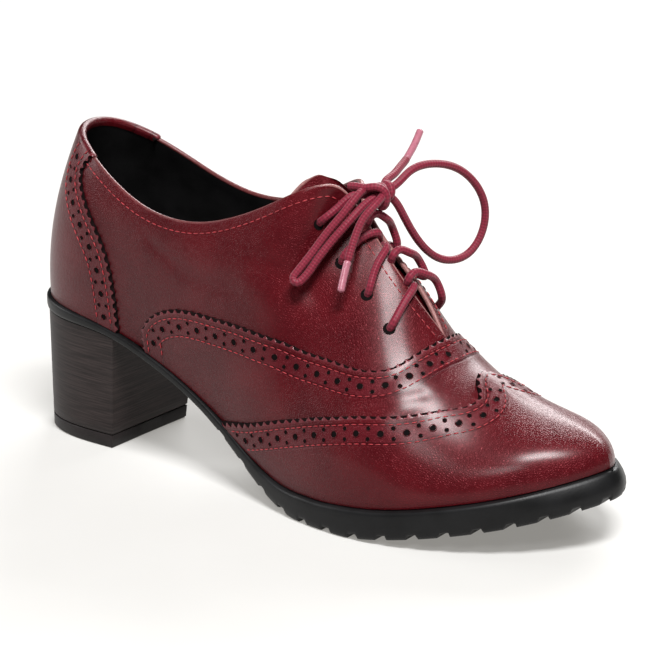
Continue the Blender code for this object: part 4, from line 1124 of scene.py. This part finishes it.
class Finish(Nodes):
    """A material, its Principled shader and the nodes that feed it."""

    def __init__(self, name, **constants):
        self.material = bpy.data.materials.new(name)
        self.material.use_nodes = True
        super().__init__(self.material.node_tree)
        self.shader = self.tree.nodes["Principled BSDF"]
        self.surface(**constants)

    def surface(self, **values):
        """Set or link inputs of the shader, named in small letters."""
        for label, value in values.items():
            self.feed(self.shader.inputs[label.replace("_", " ").title().replace("Ior", "IOR")], value)
        return self.material

    def place(self):
        """Object coordinates in millimetres."""
        at = self.node("ShaderNodeTexCoord").outputs["Object"]
        return self.node("ShaderNodeVectorMath", {"operation": "SCALE"}, {0: at, "Scale": 1 / MM}).outputs[0]

    def noise(self, at, size, detail=2.0, roughness=0.5):
        """Soft noise with patches of a given size."""
        return self.value("ShaderNodeTexNoise", {}, {"Vector": at, "Scale": 1 / size, "Detail": detail,
                                                     "Roughness": roughness})

    def cells(self, at, size):
        """Distance from the edges of cells of a given size."""
        return self.value("ShaderNodeTexVoronoi", {"feature": "DISTANCE_TO_EDGE"},
                          {"Vector": at, "Scale": 1 / size}, output="Distance")

    def attribute(self, name):
        return self.value("ShaderNodeAttribute", {"attribute_name": name}, output="Fac")

    def mix(self, share, first, second):
        """A colour between two others. The Mix node keeps its colours in inputs 6 and 7 and output 2."""
        return self.node("ShaderNodeMix", {"data_type": "RGBA"},
                         {"Factor": share, 6: opaque(first), 7: opaque(second)}).outputs[2]

    def bump(self, height, depth, under=None):
        """Bump of a height (0 to 1) that is so many millimetres deep."""
        sockets = {"Height": height, "Distance": depth * MM, "Strength": 1.0}
        if under is not None:
            sockets["Normal"] = under
        return self.node("ShaderNodeBump", {}, sockets).outputs["Normal"]


def opaque(colour):
    """A plain colour with its alpha. A socket is left as it is."""
    return (*colour, 1.0) if isinstance(colour, tuple) else colour


def stitch_shape(nodes):
    """A small rounded thread, as long as its stitch."""
    grain = nodes.node("GeometryNodeMeshUVSphere", {}, {"Segments": 8, "Rings": 4, "Radius": 0.5})
    turned = nodes.node("GeometryNodeTransform", {}, {"Geometry": grain.outputs["Mesh"],
                                                      "Rotation": (0.0, math.pi / 2, 0.0)})
    return turned.outputs["Geometry"]


def disc_shape(nodes):
    """A dark disc of painted shade at the bottom of a punched hole or a lace hole."""
    disc = nodes.node("GeometryNodeMeshCircle", {"fill_type": "NGON"}, {"Vertices": 16, "Radius": 0.5})
    return disc.outputs["Mesh"]


def rim_shape(nodes):
    """The lip of leather round a punched hole."""
    ring, lip = (nodes.node("GeometryNodeCurvePrimitiveCircle", {}, {"Resolution": steps, "Radius": radius})
                 for steps, radius in ((16, 0.5), (4, RIM_LIP)))
    swept = nodes.node("GeometryNodeCurveToMesh", {}, {"Curve": ring.outputs["Curve"],
                                                       "Profile Curve": lip.outputs["Curve"]})
    return swept.outputs["Mesh"]


def scatter_tree(name, shape):
    """Node tree that puts one small shape at each point, turned to the leather there."""
    tree = bpy.data.node_groups.new(name, "GeometryNodeTree")
    for label, kind in (("Geometry", "Geometry"), ("Length", "Float"), ("Width", "Float"),
                        ("Height", "Float"), ("Material", "Material")):
        tree.interface.new_socket(label, in_out="INPUT", socket_type=f"NodeSocket{kind}")
    tree.interface.new_socket("Geometry", in_out="OUTPUT", socket_type="NodeSocketGeometry")
    nodes = Nodes(tree)
    given = nodes.node("NodeGroupInput").outputs
    out, run, size = (
        nodes.node("GeometryNodeInputNamedAttribute", {"data_type": kind}, {"Name": label}).outputs["Attribute"]
        for label, kind in (("out", "FLOAT_VECTOR"), ("run", "FLOAT_VECTOR"), ("size", "FLOAT")))
    sizes = nodes.node("ShaderNodeCombineXYZ", {}, {"X": given["Length"], "Y": given["Width"],
                                                    "Z": given["Height"]})
    stretched = nodes.node("GeometryNodeTransform", {}, {"Geometry": shape(nodes),
                                                         "Scale": sizes.outputs["Vector"]})
    facing = nodes.node("FunctionNodeAxesToRotation", {"primary_axis": "Z", "secondary_axis": "X"},
                        {"Primary Axis": out, "Secondary Axis": run})
    placed = nodes.node("GeometryNodeInstanceOnPoints", {}, {
        "Points": given["Geometry"], "Instance": stretched.outputs["Geometry"],
        "Rotation": facing.outputs["Rotation"], "Scale": size})
    smooth = nodes.node("GeometryNodeSetShadeSmooth", {}, {"Geometry": placed.outputs["Instances"]})
    real = nodes.node("GeometryNodeRealizeInstances", {}, {"Geometry": smooth.outputs["Geometry"]})
    finish = nodes.node("GeometryNodeSetMaterial", {}, {"Geometry": real.outputs["Geometry"],
                                                        "Material": given["Material"]})
    nodes.node("NodeGroupOutput", {}, {"Geometry": finish.outputs["Geometry"]})
    return tree


def scatter(name, shape, places, sizes, material):
    """One piece with a small shape at each place: points, outward directions, runs and sizes."""
    points, out, run, size = (np.concatenate(column) for column in zip(*places))
    mesh = bpy.data.meshes.new(f"{name}_places")
    mesh.from_pydata(to_world(points).tolist(), [], [])
    give_points(mesh, "out", "FLOAT_VECTOR", out)
    give_points(mesh, "run", "FLOAT_VECTOR", run)
    give_points(mesh, "size", "FLOAT", size)
    carrier = put_in_scene(f"{name}_places", mesh)
    tree = scatter_tree(f"{name}_tree", shape)
    nodes = carrier.modifiers.new("scatter", "NODES")
    nodes.node_group = tree
    inputs = {item.name: item.identifier for item in tree.interface.items_tree if item.in_out == "INPUT"}
    for label, value in zip(("Length", "Width", "Height"), sizes):
        nodes[inputs[label]] = value * MM
    nodes[inputs["Material"]] = material
    bpy.context.view_layer.update()
    made = bpy.data.meshes.new_from_object(carrier.evaluated_get(bpy.context.evaluated_depsgraph_get()))
    made.name = name
    bpy.data.objects.remove(carrier, do_unlink=True)
    bpy.data.meshes.remove(mesh)
    return finish_piece(put_in_scene(name, made), "burgundy_leather")


def row_places(side, line, height, pitch, start=0.5, size=1.0, aside=0.0):
    """Places every pitch along a line of the leather, or beside it, with outward direction and run."""
    path = skin(side, *line.T, height)
    walked = lengths(path)
    at = np.arange(pitch * start, walked[-1] - pitch * ROW_END, pitch)
    run = unit(read_line(at + RUN_STEP, walked, path) - read_line(at, walked, path))
    spots = read_line(at, walked, beside(side, line, aside) if aside else line)
    kept = (spots[:, 1] > ROW_FOOT) & (spots[:, 1] < ROW_TOP)
    spots, run = spots[kept], run[kept]
    return skin(side, *spots.T, height), wall_normal(side, *spots.T), run, np.full(len(spots), size)


def build_brogueing(thread, hole, leather):
    """Stitch rows and punched holes along the pinked edges, and the stitches and lace holes of the quarters."""
    stitches, punched, lace_hole_shades = [], [], []
    for panel in reversed(PANELS):
        height = panel["height"]
        for side in SIDES:
            edge = even_line(side, panel["route"], LINE_STEP)
            inward = side * panel["inward"]
            for distance in (OUTER_ROW, INNER_ROW):
                line = beside(side, edge, inward * distance)
                stitches.append(row_places(side, line, height + STITCH_SEAT, STITCH_PITCH))
            middle = beside(side, edge, inward * HOLE_ROW)
            for start, radius, aside in ((0.5, LARGE_HOLE, 0.0), (1.0, SMALL_HOLE, -SMALL_SPREAD),
                                         (1.0, SMALL_HOLE, SMALL_SPREAD)):
                punched.append(row_places(side, middle, height + HOLE_SEAT, HOLE_PITCH, start, 2 * radius,
                                          aside))
    spots = np.array(LACE_ROWS)
    upright = np.tile([0.0, 0.0, 1.0], (len(spots), 1))
    for side in SIDES:
        line = beside(side, even_line(side, COLLAR_ROUTE, LINE_STEP), side * COLLAR_ROW)
        stitches.append(row_places(side, line, STITCH_SEAT, STITCH_PITCH))
        lace_hole_shades.append((skin(side, *spots.T, EYELET_SEAT), wall_normal(side, *spots.T), upright,
                           np.full(len(spots), 2 * EYELET)))
    scatter("brogue_stitches", stitch_shape, stitches, STITCH_SIZE, thread)
    # The black discs are painted shade inside the punched holes and the lace holes.
    scatter("punched_hole_shades", disc_shape, punched + lace_hole_shades, (1.0, 1.0, 1.0), hole)
    scatter("punched_rims", rim_shape, punched, (1.0, 1.0, 1.0), leather)


def leather_finish(name, edged=False, raw_and_rim_highlight=False):
    """Burgundy grain leather with a polish, darker in its hollows and duller in its punched bands, with painted
    highlights along pinked edges and on the collar rim where asked.
    """
    finish = Finish(name, coat_roughness=0.23, specular_ior_level=0.28, specular_tint=opaque(WINE_SHINE))
    at = finish.place()
    patches = finish.noise(at, 22.0, 3.0)
    specks = finish.noise(at, 1.6, 2.0)
    pebbles = finish.cells(at, GRAIN_SIZE).between(0.0, 0.35)
    pores = finish.noise(at, 0.35, 2.0)
    share = (patches - 0.5) * 1.3 + 0.5 + (specks - 0.5) * 0.35
    colour = finish.mix(share.between(0.05, 0.95), WINE_DEEP, WINE_BRIGHT)
    colour = finish.mix((1 - pebbles) * 0.30, colour, WINE_HOLLOW)
    roughness = 0.30 + (patches - 0.5) * 0.10 + (1 - pebbles) * 0.10
    coat = 0.30 + (patches - 0.5) * 0.20
    height = pebbles * 0.7 + pores * 0.3
    normal = None
    if edged:
        reach = finish.attribute("from_edge")
        first, second = ((reach - row).size().between(*GROOVE_WIDTH) for row in (OUTER_ROW, INNER_ROW))
        groove = first + second
        band = (reach.between(OUTER_ROW, OUTER_ROW + BAND_FADE)
                * reach.between(INNER_ROW, INNER_ROW - BAND_FADE))
        # Painted highlight: a paler tone within about a millimetre of the pinked edge.
        lit = reach.between(0.9, 0.2)
        colour = finish.mix(band * 0.25, colour, WINE_BAND)
        colour = finish.mix(groove * 0.5, colour, WINE_GROOVE)
        colour = finish.mix(lit * 0.35, colour, PAINTED_EDGE_HIGHLIGHT)
        roughness = roughness + band * 0.06
        normal = finish.bump(groove * -1.0, GROOVE_DEPTH)
    normal = finish.bump(height, GRAIN_DEPTH, normal)
    if raw_and_rim_highlight:
        # Raw edges of the facings and tongue, and a faint painted highlight on the collar rim.
        bare_and_highlight = finish.attribute("raw_edge_and_rim_highlight")
        colour = finish.mix(bare_and_highlight * (0.50 + specks * 0.4), colour, RAW_EDGE_AND_RIM_HIGHLIGHT)
        roughness = roughness + bare_and_highlight * 0.2
    return finish.surface(base_color=colour, roughness=roughness, coat_weight=coat, normal=normal)


def plain_finish(name, dark, light, patch, rough, depth, fine, reflection):
    """A moulded or woven finish: two tones in patches, with a fine tooth."""
    finish = Finish(name, specular_ior_level=reflection)
    at = finish.place()
    patches = finish.noise(at, patch, 3.0)
    tooth_height = finish.noise(at, fine, 2.0)
    colour = finish.mix(patches.between(0.3, 0.7), dark, light)
    roughness = rough + (patches - 0.5) * 0.15 + (tooth_height - 0.5) * 0.1
    return finish.surface(base_color=colour, roughness=roughness, normal=finish.bump(tooth_height, depth))


def stack_finish(name):
    """Stacked heel: fine dark layers under a polish."""
    finish = Finish(name, coat_roughness=0.3, specular_ior_level=0.12)
    at = finish.place()
    flat = finish.node("ShaderNodeMapping", {}, {"Vector": at, "Scale": STACK_GRAIN}).outputs[0]
    streaks = finish.noise(flat, 1.0, 4.0, 0.6)
    height = finish.value("ShaderNodeSeparateXYZ", {}, {0: at}, output="Z")
    lines = (height * (math.pi / STACK_LIFT)).sine().size().between(0.08, 0.0)
    colour = finish.mix(streaks.between(0.35, 0.7), (0.013, 0.0092, 0.009), (0.038, 0.027, 0.026))
    colour = finish.mix(lines * 0.35, colour, (0.007, 0.005, 0.005))
    return finish.surface(base_color=colour, roughness=0.42 + streaks * 0.2, coat_weight=0.05 + streaks * 0.05,
                          normal=finish.bump(streaks * 0.7 - lines * 0.3, 0.06))


def cord_finish(name):
    """Round waxed cord, braided from fine yarns."""
    finish = Finish(name, sheen_weight=0.08, specular_ior_level=0.25)
    at = finish.node("ShaderNodeTexCoord").outputs["UV"]
    parts = finish.node("ShaderNodeSeparateXYZ", {}, {0: at})
    turns, reach = (Value(finish, parts.outputs[axis]) for axis in "XY")
    left = (turns * (BRAID_YARNS * math.pi) + reach * (2 * math.pi / BRAID_PITCH)).sine()
    right = (turns * (BRAID_YARNS * math.pi) - reach * (2 * math.pi / BRAID_PITCH)).sine()
    braid = (left * right) * 0.5 + 0.5
    fuzz = finish.noise(finish.place(), 0.5, 3.0)
    colour = finish.mix(braid * 0.7 + fuzz * 0.3, (0.078, 0.0034, 0.011), (0.225, 0.0145, 0.036))
    return finish.surface(base_color=colour, roughness=0.42 + fuzz * 0.2,
                          normal=finish.bump(braid * 0.8 + fuzz * 0.2, 0.16))


def film_finish(name):
    """Rose film rolled round the lace tip."""
    finish = Finish(name, coat_weight=0.5, coat_roughness=0.12)
    fine = finish.noise(finish.place(), 0.9, 3.0)
    colour = finish.mix(fine, (0.26, 0.075, 0.11), (0.40, 0.15, 0.19))
    return finish.surface(base_color=colour, roughness=0.22 + fine * 0.15, normal=finish.bump(fine, 0.06))


def floor_finish(name):
    """Pale floor with a weak light of its own, so that shadows on it stay pale."""
    finish = Finish(name, emission_strength=FLOOR_GLOW, specular_ior_level=0.1)
    fine = finish.noise(finish.place(), 40.0, 3.0)
    colour = finish.mix(fine, (0.36, 0.357, 0.35), (0.38, 0.377, 0.37))
    return finish.surface(base_color=colour, emission_color=(1.0, 0.965, 0.90, 1.0), roughness=0.6 + fine * 0.1)


def build_camera():
    """Camera at the photograph's angle, turned by azimuth, elevation and roll."""
    azimuth, elevation, roll = (math.radians(angle) for angle in CAMERA_ANGLES)
    back = Vector((math.sin(azimuth) * math.cos(elevation), -math.cos(azimuth) * math.cos(elevation),
                   math.sin(elevation)))
    right = Vector((math.cos(azimuth), math.sin(azimuth), 0.0))
    up = back.cross(right)
    right, up = right * math.cos(roll) + up * math.sin(roll), up * math.cos(roll) - right * math.sin(roll)
    lens = bpy.data.cameras.new("photo_camera")
    lens.sensor_width = CAMERA_SENSOR
    lens.lens = CAMERA_LENS * CAMERA_ZOOM
    lens.shift_x, lens.shift_y = CAMERA_SHIFT
    camera = put_in_scene("photo_camera", lens)
    camera.matrix_world = Matrix((right, up, back)).transposed().to_4x4()
    camera.location = CAMERA_EYE
    bpy.context.scene.camera = camera


def build_studio():
    """Pale floor, a softbox above, a weak one in front, panels behind and to the left, and a dim room."""
    floor = bpy.data.meshes.new("floor")
    half = FLOOR_SIZE / 2
    corners = [(-half, -half, 0), (half, -half, 0), (half, half, 0), (-half, half, 0)]
    floor.from_pydata(corners, [], [(0, 1, 2, 3)])
    floor.materials.append(floor_finish("pale_floor"))
    put_in_scene("floor", floor)
    for name, place, aim, size, power in SOFTBOXES:
        light = bpy.data.lights.new(name, "AREA")
        light.shape = "RECTANGLE"
        light.size, light.size_y = size
        light.energy = power
        lamp = put_in_scene(name, light)
        lamp.location = place
        lamp.rotation_euler = (Vector(aim) - Vector(place)).to_track_quat("-Z", "Y").to_euler()
    world = bpy.data.worlds.new("pale_room")
    world.use_nodes = True
    room = world.node_tree.nodes["Background"]
    room.inputs["Color"].default_value = opaque(ROOM_COLOUR)
    room.inputs["Strength"].default_value = ROOM_STRENGTH
    bpy.context.scene.world = world
    bpy.context.scene.view_settings.view_transform = "Standard"


build_camera()
build_laces(cord_finish("crimson_waxed_cord"), film_finish("rose_film_tip"))
quarter_leather = leather_finish("burgundy_quarter_leather", raw_and_rim_highlight=True)
punched_leather = leather_finish("burgundy_punched_leather")
edged_leather = leather_finish("burgundy_edged_leather", edged=True)
plain = {name: plain_finish(name, *recipe) for name, recipe in PLAIN_FINISHES.items()}

finish_piece(build_upper(quarter_leather, plain["black_lining"]), "burgundy_leather", "upper")
for panel in PANELS:
    leather_panel([edged_leather, plain["black_cut_edge_and_notch_shade"]], **panel)
build_brogueing(plain["red_thread"], plain["punched_hole_painted_shade"], punched_leather)
finish_piece(build_tongue(quarter_leather), "burgundy_leather", "tongue")
finish_piece(build_outsole(plain["black_rubber"]), "sole_rubber", "outsole")
finish_piece(build_heel(stack_finish("dark_stacked_heel")), "heel_stack", "heel")
finish_piece(build_top_piece(plain["black_lift_rubber"]), "top_piece_rubber", "heel_top_piece")
finish_piece(build_insole(plain["black_lining"]), "insole_leather", "insole")
build_studio()
